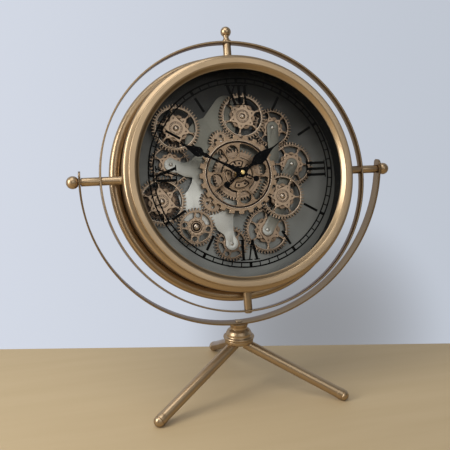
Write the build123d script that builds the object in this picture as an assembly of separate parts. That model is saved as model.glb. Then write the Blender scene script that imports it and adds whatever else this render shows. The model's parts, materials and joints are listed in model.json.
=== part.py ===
from build123d import *
import os
from math import cos, radians, sin, sqrt

# Table clock with open gears: a round case in a ring that tilts in a half-ring yoke on a tripod.
# Millimetres and degrees. The tilt axis runs along X, the dial faces -Y, and z = 0 is the table.
# The clock is drawn upright about the tilt axis and then leaned back. Its depths run along Y, front negative.

# Driving dimensions: stand
AXIS_HEIGHT = 337.5
TILT_BACK = 15.1
LEG_DIAMETER = 16.0
LEG_REACH = 161.0
LEG_CLEARANCE = 1.32
LEG_ENTRY_RADIUS = 22.0
LEG_DROP = 7.0
LEG_ANGLES = {"left": -150.0, "right": -30.0, "back": 90.0}
FOOT_CAP_DIAMETER = 16.8
FOOT_SKIRT = 9.0
FOOT_FLAT_DIAMETER = 6.0
HUB_HEIGHT = 30.8
HUB_BASE_HEIGHT = 5.0
HUB_BASE_DIAMETER = 43.0
HUB_RING_DIAMETER = 50.0
HUB_RING_HEIGHT = 9.0
HUB_BULGE_DIAMETER = 40.5
HUB_BULGE_HEIGHT = 8.0
HUB_NECK_DIAMETER = 26.0
HUB_COLLAR_DIAMETER = 30.4
YOKE_GAP = 26.1
YOKE_WIDTH = 18.0
YOKE_THICKNESS = 2.6
YOKE_RISE = 15.0
YOKE_CORNER = 7.0
HUB_SCREW_DIAMETER = 6.0
HUB_SCREW_HEAD = 11.0
HUB_SCREW_HEAD_HEIGHT = 1.6
HUB_SCREW_DEPTH = 16.0
CUT = 1.0

# Driving dimensions: ring, rods and knobs
RING_GAP = 12.4
RING_WIDTH = 14.0
RING_THICKNESS = 2.6
ROD_DIAMETER = 12.0
STUD_DIAMETER = 6.0
STUD_DEPTH = 14.0
JOURNAL_DIAMETER = 8.0
JOURNAL_CLEARANCE = 0.05
SIDE_CLEARANCE = 0.4
KNOB_DIAMETER = 18.0
KNOB_STANDOFF = 7.3
JOURNAL_INSET = 1.0
FINIAL_DIAMETER = 15.6
FINIAL_HEIGHT = 15.5
FINIAL_NECK_DIAMETER = 9.0
FINIAL_COLLAR_DIAMETER = 14.4
FINIAL_COLLAR_HEIGHT = 1.4
FINIAL_NECK_HEIGHT = 4.2
RING_SCREW_HEAD = 11.0
RING_SCREW_HEIGHT = 2.4

# Driving dimensions: case
BEZEL_OVERHANG = 2.0
BEZEL_CLEARANCE = 0.2
BEZEL_WIDTH = 15.0
BEZEL_HEIGHT = 9.0
BEZEL_REBATE = 2.6
BEZEL_LIP = 1.6
BEZEL_CROWN_INSET = 5.0
BEZEL_SHOULDER = 1.6
GLASS_COVER = 7.9
GLASS_THICKNESS = 3.0
GLASS_CLEARANCE = 1.2
LINER_GAP = 4.2
LINER_WALL = 1.2
LINER_CLEARANCE = 0.4
BEAD_WIDTH = 9.2
BEAD_DEPTH = 19.6
BEAD_CORNERS = ((0.6, 0.15), (1.0, 0.8))
BEAD_STEP = 6.0
COVE_DEPTH = 2.6
COVE_HOLLOW = 1.6
BACK_BEAD_RISE = 14.2
BACK_BEAD_DEPTH = 17.0
BACK_BEAD_FLAT = 4.2
BACK_RIM_INSET = 7.0
SHELL_WALL = 1.6
DIAL_FRONT = 12.0
DIAL_THICKNESS = 1.5
DIAL_OVERLAP = 3.0
COVER_THICKNESS = 1.2
COVER_GAP = 4.5
COVER_SCREW_DIAMETER = 3.0
COVER_SCREW_LENGTH = 9.0
COVER_SCREW_HEAD = 7.0
COVER_SCREW_HEAD_HEIGHT = 1.4
POST_COUNT = 4
POST_INSET = 15.0
POST_DIAMETER = 9.0

# Driving dimensions: gears
MODULE = 1.5
ADDENDUM = 1.0
DEDENDUM = 1.25
TOOTH_ROOT_SHARE = 0.58
REAR_GAP = 3.0
REAR_THICKNESS = 3.0
BRIDGE_GAP = 2.0
BRIDGE_THICKNESS = 1.4
FRONT_GAP = 1.6
FRONT_THICKNESS = 3.5
WHEEL_GAP = 1.5
WHEEL_THICKNESS = 3.5
WHEEL_TEETH = 24
WHEEL_DIAMETER = 117.0
WHEEL_TOOTH_DEPTH = 4.6
WHEEL_ROOT_SHARE = 0.29
WHEEL_TIP_SHARE = 0.2
WHEEL_HOLES = 4
WHEEL_HOLE_DIAMETER = 18.8
WHEEL_HOLE_CIRCLE = 64.0
WHEEL_HOLE_ANGLE = 12.0
WHEEL_HUB_DIAMETER = 43.0
WHEEL_RIM_DIAMETER = 90.0
WHEEL_WINDOW_GAP = 1.0
WHEEL_WINDOW_ANGLE = 46.0
BRIDGE_MIDDLE_DIAMETER = 100.0
PINION_HEAD_HEIGHT = 0.8
RIVET_HEAD_DIAMETER = 7.0
RIVET_HEAD_HEIGHT = 1.4
PIN_DIAMETER = 5.0
PIN_CLEARANCE = 0.05
PIN_HEAD_DIAMETER = 9.6
PIN_HEAD_HEIGHT = 1.8
SLEEVE_WALL = 2.5
SLEEVE_CLEARANCE = 0.4
END_FLOAT = 0.3
SPOKES = 6
SPOKE_WIDTH = 4.0
STAR_SHARE = 0.62
STAR_HOLLOW = 0.76
STAR_RAISE = 0.9
RIM_SHARE = 0.16
WINDOW_SHARE = 0.52
SHOULDER_DIAMETER = 9.0
SPOKE_TURNS = {
    "gear_upper_left": 41.0,
    "gear_top": 17.0,
    "gear_left": 37.0,
    "gear_lower_right": 54.0,
    "gear_mid_left": 30.0,
    "gear_upper_right": 40.0,
    "gear_right": 57.0,
    "gear_bottom_right": 30.0,
}
HOLE_TURNS = {"gear_lower_left": -13.0, "gear_bottom": 61.0}
HOLED_COUNT = 4
HOLED_WINDOW_ANGLE = 48.0
HOLE_SHARE = 0.9

# Bridge arms and links in modules: tip radius, root and root radius, and the links' two ends
BRIDGE_ARMS = {
    "gear_mid_left": (6.3, (-37.3, 9.3), 22.7),
    "gear_bottom": (6.1, (-14.7, -34.7), 16.0),
    "gear_bottom_right": (5.5, (41.3, -34.7), 6.0),
    "gear_right": (5.7, (42.7, -18.7), 6.0),
    "gear_upper_right": (6.1, (40.0, 17.3), 5.3),
    "gear_top": (8.0, (-5.3, 66.7), 13.3),
    "gear_lower_left": (9.3, (-37.3, -13.3), 22.7),
}
BRIDGE_LINKS = [
    ((42.7, -18.7), 6.0, (20.0, -6.7), 8.0),
    ((40.0, 17.3), 5.3, (20.0, 6.7), 8.0),
    ((41.3, -34.7), 6.0, (42.7, -18.7), 6.0),
    ((-5.3, 66.7), 13.3, (-18.7, 41.3), 18.7),
    ((-18.7, 41.3), 18.7, (-24.0, 33.3), 25.3),
]

# Driving dimensions: movement, hands and drive
BUSH_DIAMETER = 9.0
BUSH_PROUD = 4.5
BUSH_NUT = 13.0
BUSH_NUT_HEIGHT = 2.2
HOUR_PIPE_DIAMETER = 5.4
MINUTE_PIPE_DIAMETER = 3.4
PIPE_DEPTH = 2.0
HAND_THICKNESS = 0.6
HOUR_HAND = dict(length=76.0, bulb=35.0, bulb_length=26.0, bulb_width=14.0, tail=29.0, disc=9.6, boss=13.0)
MINUTE_HAND = dict(length=110.0, bulb=71.0, bulb_length=34.0, bulb_width=11.0, tail=22.0, disc=8.4, boss=11.0)
HAND_STEM = 2.8
HAND_RISE = 14.6
HAND_GAP = 2.0
HAND_NUT_DIAMETER = 6.4
HAND_NUT_HEIGHT = 2.2
HOUR_REST = 35.0
MINUTE_REST = 153.0
MOVEMENT_SIZE = 56.0
MOVEMENT_DEPTH = 16.0
CELL_DIAMETER = 14.2
CELL_LENGTH = 50.0
CELL_CAP_DIAMETER = 5.5
CELL_CAP_LENGTH = 1.5
CELL_END_PLAY = 1.0
CELL_SIDE_PLAY = 0.6
CELL_PROUD = 1.0
CELL_GAP = 0.5
KNOB_SET_DIAMETER = 14.0
KNOB_SET_HEIGHT = 4.0
DRIVE_WIDTH = 40.0
DRIVE_HEIGHT = 40.0
DRIVE_GAP = 0.5
BOX_GAP = 2.0
CELL_BOX_WALL = 2.0
SWITCH_TRAVEL = 3.0
SWITCH_WIDTH = 4.5
SWITCH_DEPTH = 4.0
SWITCH_HEIGHT = 1.5
SWITCH_INSET = 10.0
SWITCH_CLEARANCE = 0.4
STEM_DIAMETER = 3.0
STEM_DEPTH = 6.0


def lean(shape):
    """An upright piece of the clock, leaned back and lifted to the tilt axis."""
    return Pos(0, 0, AXIS_HEIGHT) * Rot(-TILT_BACK, 0, 0) * shape


def slab(sketch, front, back):
    """A flat piece of the clock that fills the depths from front to back."""
    return extrude(Plane.XZ.offset(-back) * sketch, back - front)


def rod(diameter, start, end):
    """A round bar from one point to another."""
    line = Vector(*end) - Vector(*start)
    return extrude(Plane(origin=start, z_dir=line) * Circle(diameter / 2), line.length)


def turned(*edges):
    """A piece turned about the dial's axis from a closed profile of (radius, depth)."""
    return revolve(make_face(edges), Axis.Y)


def polar(radius, angle):
    return radius * cos(radians(angle)), radius * sin(radians(angle))


def sagitta(radius, half_chord):
    """How far a circle falls away from its tangent at half a chord from the touching point."""
    return radius - sqrt(radius**2 - half_chord**2)


# Gear train: every wheel's place follows from its driver, its teeth and the direction of the mesh
class Toothing:
    """One ring of teeth: its count, its centre, the angle of one tooth and its turns per centre turn."""

    def __init__(self, teeth, centre=(0.0, 0.0), phase=0.0, ratio=1.0):
        self.teeth = teeth
        self.centre = centre
        self.phase = phase
        self.ratio = ratio
        self.pitch_radius = MODULE * teeth / 2
        self.root_radius = self.pitch_radius - DEDENDUM * MODULE
        self.tip_radius = self.pitch_radius + ADDENDUM * MODULE

    def meshed(self, teeth, angle):
        """Teeth that mesh with these, on a centre that lies in the given direction."""
        other = Toothing(teeth)
        x, y = polar(self.pitch_radius + other.pitch_radius, angle)
        other.centre = (self.centre[0] + x, self.centre[1] + y)
        other.phase = angle + 180 + (angle - self.phase) * self.teeth / teeth + 180 / teeth
        other.ratio = -self.ratio * self.teeth / teeth
        return other

    def beside(self, teeth):
        """Teeth of another count on the same arbor."""
        return Toothing(teeth, self.centre, self.phase, self.ratio)

    def face(self):
        """The toothed outline about its own centre: each tooth is a root, a tip and a root."""
        half = TOOTH_ROOT_SHARE * 180 / self.teeth
        corners = []
        for i in range(self.teeth):
            middle = self.phase + 360 * i / self.teeth
            corners.append(polar(self.root_radius, middle - half))
            corners.append(polar(self.tip_radius, middle))
            corners.append(polar(self.root_radius, middle + half))
        return make_face(Polyline(*corners, close=True))


centre_fine = Toothing(49)
centre_rear = Toothing(38)
train = {}
train["pinion_upper"] = centre_fine.meshed(23, 113.3)
train["gear_top"] = train["pinion_upper"].meshed(46, 46.4)
train["pinion_lower"] = centre_fine.meshed(24, -138.0)
train["gear_lower_left"] = train["pinion_lower"].meshed(36, -127.0)
train["gear_left"] = train["gear_lower_left"].meshed(46, 140.3)
left_rear = train["gear_left"].beside(35)
train["gear_mid_left"] = left_rear.meshed(40, 71.4)
upper_left_rear = train["gear_mid_left"].meshed(30, 78.8)
train["gear_upper_left"] = upper_left_rear.beside(46)
train["idler"] = centre_rear.meshed(24, 48.6)
train["gear_upper_right"] = train["idler"].meshed(39, 48.6)
train["gear_right"] = train["gear_upper_right"].meshed(44, -65.1)
lower_right_rear = train["gear_right"].meshed(27, -114.2)
train["gear_lower_right"] = lower_right_rear.beside(45)
train["gear_bottom_right"] = lower_right_rear.meshed(46, -117.4)
train["gear_bottom"] = train["gear_bottom_right"].meshed(33, -163.7)
drive = centre_rear.meshed(10, -60.0)
rear_teeth = {
    "gear_left": left_rear,
    "gear_upper_left": upper_left_rear,
    "gear_lower_right": lower_right_rear,
}
front_wheels = ["gear_upper_left", "gear_top", "gear_left", "gear_lower_left", "gear_lower_right"]
front_pinions = ["pinion_upper", "pinion_lower"]
arm_wheels = ["gear_upper_right", "gear_right", "gear_bottom_right", "gear_bottom", "gear_mid_left"]

# Worked-out sizes: the case is sized round the gears, the ring round the case and the yoke round the ring
TRAIN_REACH = max(sqrt(x**2 + y**2) + wheel.tip_radius for wheel in train.values() for x, y in [wheel.centre])
LINER_INNER = TRAIN_REACH + LINER_GAP
LINER_OUTER = LINER_INNER + LINER_WALL
MOUTH = LINER_OUTER + LINER_CLEARANCE
BEZEL_RADIUS = MOUTH + BEZEL_OVERHANG
LIP_RADIUS = BEZEL_RADIUS - BEZEL_WIDTH
GLASS_RADIUS = LIP_RADIUS + GLASS_COVER
BEAD_RADIUS = MOUTH + BEAD_WIDTH
COVE_RADIUS = BEAD_RADIUS - COVE_DEPTH
BACK_BEAD_RADIUS = BEAD_RADIUS + BACK_BEAD_RISE
RIM_RADIUS = BACK_BEAD_RADIUS - BACK_RIM_INSET
RING_INNER = BACK_BEAD_RADIUS + RING_GAP
RING_OUTER = RING_INNER + RING_THICKNESS
YOKE_INNER = RING_OUTER + YOKE_GAP
YOKE_OUTER = YOKE_INNER + YOKE_THICKNESS

# Worked-out depths, from the dial plate forward to the bezel and back to the cover
REAR_BACK = DIAL_FRONT - REAR_GAP
REAR_LAYER = REAR_BACK - REAR_THICKNESS
BRIDGE_BACK = REAR_LAYER - BRIDGE_GAP
BRIDGE_FRONT = BRIDGE_BACK - BRIDGE_THICKNESS
FRONT_BACK = BRIDGE_FRONT - FRONT_GAP
FRONT_LAYER = FRONT_BACK - FRONT_THICKNESS
WHEEL_BACK = FRONT_LAYER - WHEEL_GAP
WHEEL_FRONT = WHEEL_BACK - WHEEL_THICKNESS
BUSH_FRONT = WHEEL_FRONT - BUSH_PROUD
HOUR_HAND_DEPTH = BUSH_FRONT - HAND_RISE
MINUTE_HAND_DEPTH = HOUR_HAND_DEPTH - HAND_GAP
BEZEL_SEAT = MINUTE_HAND_DEPTH - HAND_NUT_HEIGHT - GLASS_CLEARANCE
GLASS_FRONT = BEZEL_SEAT - GLASS_THICKNESS
SHELL_FRONT = BEZEL_SEAT - BEZEL_REBATE
BEZEL_CROWN = SHELL_FRONT - BEZEL_HEIGHT
BEAD_BACK = SHELL_FRONT + BEAD_DEPTH
COVE_FRONT = BEAD_BACK + BEAD_STEP
DIAL_BACK = DIAL_FRONT + DIAL_THICKNESS
MOVEMENT_BACK = DIAL_BACK + MOVEMENT_DEPTH
SHELL_BACK = MOVEMENT_BACK + COVER_GAP
COVER_BACK = SHELL_BACK + COVER_THICKNESS
COVE_BACK = SHELL_BACK - BACK_BEAD_DEPTH

# Worked-out sizes of the stand and the bores
FOOT_RADIUS = FOOT_CAP_DIAMETER / 2
FOOT_CENTRE = sqrt(FOOT_RADIUS**2 - (FOOT_FLAT_DIAMETER / 2) ** 2)
YOKE_BOTTOM = AXIS_HEIGHT - YOKE_OUTER
HUB_BOTTOM = YOKE_BOTTOM - HUB_HEIGHT
LEG_ENTRY_HEIGHT = HUB_BOTTOM - LEG_DROP
LEG_INSET = (LEG_DIAMETER + LEG_CLEARANCE) / sqrt(3)
LEG_SLOPE = (LEG_ENTRY_HEIGHT - FOOT_CENTRE) / (LEG_REACH - LEG_ENTRY_RADIUS)
BORE_DIAMETER = PIN_DIAMETER + 2 * PIN_CLEARANCE
SLEEVE_DIAMETER = BORE_DIAMETER + 2 * SLEEVE_WALL

parts = {}


# Legs: straight round bars that run up into sockets in the hub
def leg_point(angle, radius):
    """A point on a leg's centre line at a distance from the hub's axis."""
    x, y = polar(radius, angle)
    return x, y, FOOT_CENTRE + (LEG_REACH - radius) * LEG_SLOPE


def foot_cap(angle):
    """A skirt and a dome, with a small flat that stands on the table."""
    foot = leg_point(angle, LEG_REACH)
    run = Vector(*foot) - Vector(*leg_point(angle, LEG_INSET))
    back = Vector(*foot) - run.normalized() * FOOT_SKIRT
    cap = rod(FOOT_CAP_DIAMETER, back, foot) + Pos(*foot) * Sphere(FOOT_RADIUS)
    return split(cap, Plane.XY, keep=Keep.TOP)


def leg(angle):
    foot = Vector(*leg_point(angle, LEG_REACH))
    top = Vector(*leg_point(angle, LEG_INSET))
    end = foot - (foot - top).normalized() * FOOT_SKIRT
    return rod(LEG_DIAMETER, top, end)


legs = {side: leg(angle) for side, angle in LEG_ANGLES.items()}
for side, solid in legs.items():
    parts["leg_" + side] = solid
parts["foot_caps"] = Compound([foot_cap(angle) for angle in LEG_ANGLES.values()])

# Hub: a turned vase under the yoke, drilled for the legs and the screw
ring_low = HUB_BOTTOM + HUB_BASE_HEIGHT
ring_high = ring_low + HUB_RING_HEIGHT
bulge_high = ring_high + HUB_BULGE_HEIGHT
hub_ring, bulge = HUB_RING_DIAMETER / 2, HUB_BULGE_DIAMETER / 2
neck, collar = HUB_NECK_DIAMETER / 2, HUB_COLLAR_DIAMETER / 2
hub_profile = Polyline(
    (0, HUB_BOTTOM),
    (HUB_BASE_DIAMETER / 2, HUB_BOTTOM),
    (hub_ring, ring_low),
    (hub_ring, ring_high),
    (bulge, ring_high),
    (bulge, ring_high + HUB_BULGE_HEIGHT / 2),
    (neck, bulge_high),
    (collar, YOKE_BOTTOM + CUT),
    (0, YOKE_BOTTOM + CUT),
    close=True,
)
yoke_bore = Pos(0, 0, AXIS_HEIGHT) * Rot(90, 0, 0) * Cylinder(YOKE_OUTER, 4 * YOKE_WIDTH)
hub = revolve(Plane.XZ * make_face(hub_profile), Axis.Z) - yoke_bore
for solid in legs.values():
    hub -= solid
screw_seat = YOKE_BOTTOM + YOKE_THICKNESS + sagitta(YOKE_INNER, HUB_SCREW_HEAD / 2)
hub_shank = rod(HUB_SCREW_DIAMETER, (0, 0, screw_seat - HUB_SCREW_DEPTH), (0, 0, screw_seat))
parts["stand_hub"] = hub - hub_shank
screw_head = rod(HUB_SCREW_HEAD, (0, 0, screw_seat), (0, 0, screw_seat + HUB_SCREW_HEAD_HEIGHT))
parts["hub_screw"] = hub_shank + screw_head

# Yoke: the lower half of a strip ring, run a little past the tilt axis
yoke_face = Circle(YOKE_OUTER) - Circle(YOKE_INNER)
yoke_face -= Pos(0, YOKE_RISE + YOKE_OUTER) * Rectangle(3 * YOKE_OUTER, 2 * YOKE_OUTER)
yoke = slab(yoke_face, -YOKE_WIDTH / 2, YOKE_WIDTH / 2)
yoke = fillet(yoke.edges().filter_by(Axis.X), YOKE_CORNER)
journal_hole = JOURNAL_DIAMETER + 2 * JOURNAL_CLEARANCE
yoke -= rod(journal_hole, (-YOKE_OUTER - CUT, 0, 0), (YOKE_OUTER + CUT, 0, 0))
parts["yoke"] = Pos(0, 0, AXIS_HEIGHT) * yoke - hub_shank

# Pieces of the clock from here on are upright, centred on the tilt axis
clock = {}

# Ring: a full strip ring with four stud holes
ring_studs = rod(STUD_DIAMETER, (-YOKE_OUTER, 0, 0), (YOKE_OUTER, 0, 0))
ring_studs += rod(STUD_DIAMETER, (0, 0, -YOKE_OUTER), (0, 0, YOKE_OUTER))
ring_face = Circle(RING_OUTER) - Circle(RING_INNER)
clock["gimbal_ring"] = slab(ring_face, -RING_WIDTH / 2, RING_WIDTH / 2) - ring_studs

# Case shell: spun sheet with a front bead, a cove and a back bead
back_bead_middle = (COVE_BACK + SHELL_BACK) / 2
cove_middle = (COVE_FRONT + COVE_BACK) / 2
shell_outer = [
    (MOUTH, SHELL_FRONT),
    *[(MOUTH + across * BEAD_WIDTH, SHELL_FRONT + along * BEAD_WIDTH) for across, along in BEAD_CORNERS],
    (BEAD_RADIUS, BEAD_BACK),
    (COVE_RADIUS, COVE_FRONT),
    (COVE_RADIUS + COVE_HOLLOW, cove_middle),
    (RIM_RADIUS, COVE_BACK),
    (BACK_BEAD_RADIUS, back_bead_middle - BACK_BEAD_FLAT / 2),
    (BACK_BEAD_RADIUS, back_bead_middle + BACK_BEAD_FLAT / 2),
    (RIM_RADIUS + SHELL_WALL, SHELL_BACK),
]
shell_inner = [
    (RIM_RADIUS, SHELL_BACK),
    (BACK_BEAD_RADIUS - sqrt(2) * SHELL_WALL, back_bead_middle),
    (RIM_RADIUS - SHELL_WALL, COVE_BACK + SHELL_WALL),
    (COVE_RADIUS + COVE_HOLLOW - SHELL_WALL, cove_middle + SHELL_WALL),
    (COVE_RADIUS - SHELL_WALL, COVE_FRONT),
    (BEAD_RADIUS - SHELL_WALL, SHELL_FRONT + BEAD_WIDTH),
    (MOUTH, SHELL_FRONT + SHELL_WALL),
]
clock["case_shell"] = turned(Polyline(*shell_outer, *shell_inner, close=True))

# Bezel: a rounded ring with a narrow lip over the glass, let into the shell's mouth
crown = BEZEL_RADIUS - BEZEL_CROWN_INSET
clock["bezel"] = turned(
    Polyline(
        (LIP_RADIUS, GLASS_FRONT),
        (LIP_RADIUS, GLASS_FRONT - BEZEL_LIP),
        ((LIP_RADIUS + crown) / 2, BEZEL_CROWN + BEZEL_SHOULDER),
        (crown, BEZEL_CROWN),
        (BEZEL_RADIUS, BEZEL_CROWN + BEZEL_CROWN_INSET / 2),
        (BEZEL_RADIUS, SHELL_FRONT),
        (MOUTH - BEZEL_CLEARANCE, SHELL_FRONT),
        (MOUTH - BEZEL_CLEARANCE, BEZEL_SEAT),
        (GLASS_RADIUS, BEZEL_SEAT),
        (GLASS_RADIUS, GLASS_FRONT),
        close=True,
    )
)
clock["glass"] = slab(Circle(GLASS_RADIUS), GLASS_FRONT, BEZEL_SEAT)

# Inner wall: the black drum between the glass and the dial plate
clock["inner_wall"] = slab(Circle(LINER_OUTER) - Circle(LINER_INNER), BEZEL_SEAT, DIAL_FRONT)

# Rods: from the ring in to the shell, and from the ring out through the yoke
shell_blank = turned(Polyline(*shell_outer, (0, SHELL_BACK), (0, SHELL_FRONT), close=True))
rod_end = RING_INNER - sagitta(RING_INNER, ROD_DIAMETER / 2)
stud_seat = RING_INNER - STUD_DEPTH
rods = []
for direction in ((1, 0, 0), (-1, 0, 0), (0, 0, 1), (0, 0, -1)):
    reach = Vector(*direction)
    bar = rod(ROD_DIAMETER, reach * (COVE_RADIUS - CUT), reach * rod_end) - shell_blank
    rods.append(bar - rod(STUD_DIAMETER, reach * stud_seat, reach * RING_OUTER))
clock["case_rods"] = Compound(rods)

out_ring = slab(Circle(RING_OUTER), -ROD_DIAMETER, ROD_DIAMETER)
pivot_end = YOKE_INNER - sagitta(YOKE_INNER, ROD_DIAMETER / 2) - SIDE_CLEARANCE
knob_seat = YOKE_OUTER + SIDE_CLEARANCE
knob_centre = knob_seat + KNOB_STANDOFF
journal_end = knob_centre - JOURNAL_INSET
pivots, knobs = [], []
for side in (1, -1):
    pivot = rod(ROD_DIAMETER, (side * stud_seat, 0, 0), (side * pivot_end, 0, 0)) - out_ring
    pivot += rod(STUD_DIAMETER, (side * stud_seat, 0, 0), (side * RING_OUTER, 0, 0))
    pivot += rod(JOURNAL_DIAMETER, (side * pivot_end, 0, 0), (side * journal_end, 0, 0))
    pivots.append(pivot)
    ball = Pos(side * knob_centre, 0, 0) * Sphere(KNOB_DIAMETER / 2)
    ball -= rod(2 * KNOB_DIAMETER, (side * RING_OUTER, 0, 0), (side * knob_seat, 0, 0))
    knobs.append(ball - rod(JOURNAL_DIAMETER, (side * RING_OUTER, 0, 0), (side * journal_end, 0, 0)))
clock["pivot_pins"] = Compound(pivots)

# Top finial: collar, neck and ball on a stud, and the low screw under the ring
finial_centre = RING_OUTER + FINIAL_HEIGHT
finial_profile = Polyline(
    (0, RING_INNER),
    (FINIAL_COLLAR_DIAMETER / 2, RING_INNER),
    (FINIAL_COLLAR_DIAMETER / 2, RING_OUTER + FINIAL_COLLAR_HEIGHT),
    (FINIAL_NECK_DIAMETER / 2, RING_OUTER + FINIAL_NECK_HEIGHT),
    (FINIAL_NECK_DIAMETER / 2, finial_centre),
    (0, finial_centre),
    close=True,
)
finial = revolve(Plane.XZ * make_face(finial_profile), Axis.Z) - out_ring
finial += Pos(0, 0, finial_centre) * Sphere(FINIAL_DIAMETER / 2)
finial += rod(STUD_DIAMETER, (0, 0, stud_seat), (0, 0, RING_OUTER + FINIAL_NECK_HEIGHT))
clock["ball_finials"] = Compound([*knobs, finial])
ring_screw_end = -RING_OUTER - RING_SCREW_HEIGHT
ring_screw = rod(RING_SCREW_HEAD, (0, 0, -RING_INNER), (0, 0, ring_screw_end)) - out_ring
clock["ring_screw"] = ring_screw + rod(STUD_DIAMETER, (0, 0, -stud_seat), (0, 0, ring_screw_end))



SPOKE_STEP = 360 / SPOKES


def at(toothing, sketch):
    return Pos(*toothing.centre) * sketch


def ring_sector(inner, outer, middle, width):
    """A window between two radii whose sides run along the spokes."""
    low, high = middle - width / 2, middle + width / 2
    half_spoke = SPOKE_WIDTH / 2

    def corner(radius, angle, side):
        x, y = polar(sqrt(radius**2 - half_spoke**2), angle)
        dx, dy = polar(half_spoke, angle + 90 * side)
        return x + dx, y + dy

    return make_face(
        [
            Line(corner(inner, low, 1), corner(outer, low, 1)),
            ThreePointArc(corner(outer, low, 1), polar(outer, middle), corner(outer, high, -1)),
            Line(corner(outer, high, -1), corner(inner, high, -1)),
            Line(corner(inner, high, -1), corner(inner, low, 1)),
        ]
    )


def star(name):
    """The six-pointed plate with hollow sides that carries the spokes."""
    radius = STAR_SHARE * train[name].pitch_radius
    corners = []
    for i in range(SPOKES):
        point = SPOKE_TURNS[name] + SPOKE_STEP * i
        corners.append(polar(radius, point))
        corners.append(polar(STAR_HOLLOW * radius, point + SPOKE_STEP / 2))
    return make_face(Polyline(*corners, close=True))


def wheel_face(name):
    """A gear's toothed outline with its windows and holes cut out."""
    toothing = train[name]
    face = toothing.face()
    inner = WINDOW_SHARE * toothing.pitch_radius
    outer = toothing.root_radius - RIM_SHARE * toothing.pitch_radius
    if name in SPOKE_TURNS:
        for i in range(SPOKES):
            middle = SPOKE_TURNS[name] + SPOKE_STEP * (i + 0.5)
            face -= ring_sector(inner, outer, middle, SPOKE_STEP)
    elif name in HOLE_TURNS:
        step = 360 / HOLED_COUNT
        for i in range(HOLED_COUNT):
            turn = HOLE_TURNS[name] + step * i
            face -= Pos(*polar((inner + outer) / 2, turn)) * Circle(HOLE_SHARE * (outer - inner) / 2)
            face -= ring_sector(inner, outer, turn + step / 2, HOLED_WINDOW_ANGLE)
    return face


def gear(name, front, back):
    """A gear in its layer, with its star plate and any second ring of teeth, bored for its pin."""
    x, z = train[name].centre
    solid = slab(wheel_face(name), front, back)
    if name in SPOKE_TURNS:
        solid += slab(star(name), front - STAR_RAISE, front)
    if name in rear_teeth:
        solid += slab(Circle(SLEEVE_DIAMETER / 2), back, REAR_LAYER)
        solid += slab(rear_teeth[name].face(), REAR_LAYER, REAR_BACK)
    return Pos(x, 0, z) * (solid - slab(Circle(BORE_DIAMETER / 2), WHEEL_FRONT, DIAL_FRONT))


for name in front_wheels + front_pinions:
    clock[name] = gear(name, FRONT_LAYER, FRONT_BACK)
for name in arm_wheels + ["idler"]:
    clock[name] = gear(name, REAR_LAYER, REAR_BACK)

# Centre wheels: a coarse wheel whose sleeve turns on the movement's bush, with two fine wheels on it
centre_bore = BUSH_DIAMETER + 2 * PIN_CLEARANCE
centre_sleeve = centre_bore + 2 * SLEEVE_WALL


def coarse_face():
    tip = WHEEL_DIAMETER / 2
    root = tip - WHEEL_TOOTH_DEPTH
    pitch = 360 / WHEEL_TEETH
    corners = []
    for i in range(WHEEL_TEETH):
        corners.append(polar(root, (i - WHEEL_ROOT_SHARE) * pitch))
        corners.append(polar(tip, (i - WHEEL_TIP_SHARE) * pitch))
        corners.append(polar(tip, (i + WHEEL_TIP_SHARE) * pitch))
        corners.append(polar(root, (i + WHEEL_ROOT_SHARE) * pitch))
    face = make_face(Polyline(*corners, close=True))
    step = 360 / WHEEL_HOLES
    inner = WHEEL_HUB_DIAMETER / 2 + WHEEL_WINDOW_GAP
    for i in range(WHEEL_HOLES):
        turn = WHEEL_HOLE_ANGLE + step * i
        face -= Pos(*polar(WHEEL_HOLE_CIRCLE / 2, turn)) * Circle(WHEEL_HOLE_DIAMETER / 2)
        face -= ring_sector(inner, WHEEL_RIM_DIAMETER / 2, turn + step / 2, WHEEL_WINDOW_ANGLE)
    return face


wheel = slab(coarse_face(), WHEEL_FRONT, WHEEL_BACK)
wheel += slab(Circle(WHEEL_HUB_DIAMETER / 2), WHEEL_FRONT - STAR_RAISE, WHEEL_FRONT)
wheel += slab(Circle(centre_sleeve / 2), WHEEL_BACK, REAR_BACK)
clock["centre_wheel"] = wheel - slab(Circle(centre_bore / 2), BUSH_FRONT, DIAL_FRONT)
clock["fine_wheel"] = slab(centre_fine.face() - Circle(centre_sleeve / 2), FRONT_LAYER, FRONT_BACK)
clock["rear_wheel"] = slab(centre_rear.face() - Circle(centre_sleeve / 2), REAR_LAYER, REAR_BACK)


# Bridge plate: arms that taper from the middle out to the rear wheels' pins
def in_modules(point):
    return point[0] * MODULE, point[1] * MODULE


def arm(tip, tip_radius, root, root_radius):
    """A flat arm that tapers from one round end to another."""
    pair = Pos(*tip) * Circle(tip_radius * MODULE) + Pos(*root) * Circle(root_radius * MODULE)
    return make_hull(pair.edges())


bridge_face = Circle(BRIDGE_MIDDLE_DIAMETER / 2)
for name, (tip_radius, root, root_radius) in BRIDGE_ARMS.items():
    bridge_face += arm(train[name].centre, tip_radius, in_modules(root), root_radius)
for start, start_radius, end, end_radius in BRIDGE_LINKS:
    bridge_face += arm(in_modules(start), start_radius, in_modules(end), end_radius)
bridge_face -= Circle(centre_sleeve / 2 + SLEEVE_CLEARANCE)
for name in rear_teeth:
    bridge_face -= at(train[name], Circle(SLEEVE_DIAMETER / 2 + SLEEVE_CLEARANCE))
for name in ["gear_top", "gear_lower_left"] + front_pinions + arm_wheels:
    bridge_face -= at(train[name], Circle(PIN_DIAMETER / 2))
clock["bridge_plate"] = slab(bridge_face, BRIDGE_FRONT, BRIDGE_BACK)

# Pins: each wheel turns on a pin that stands on the dial plate
pins = []


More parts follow.
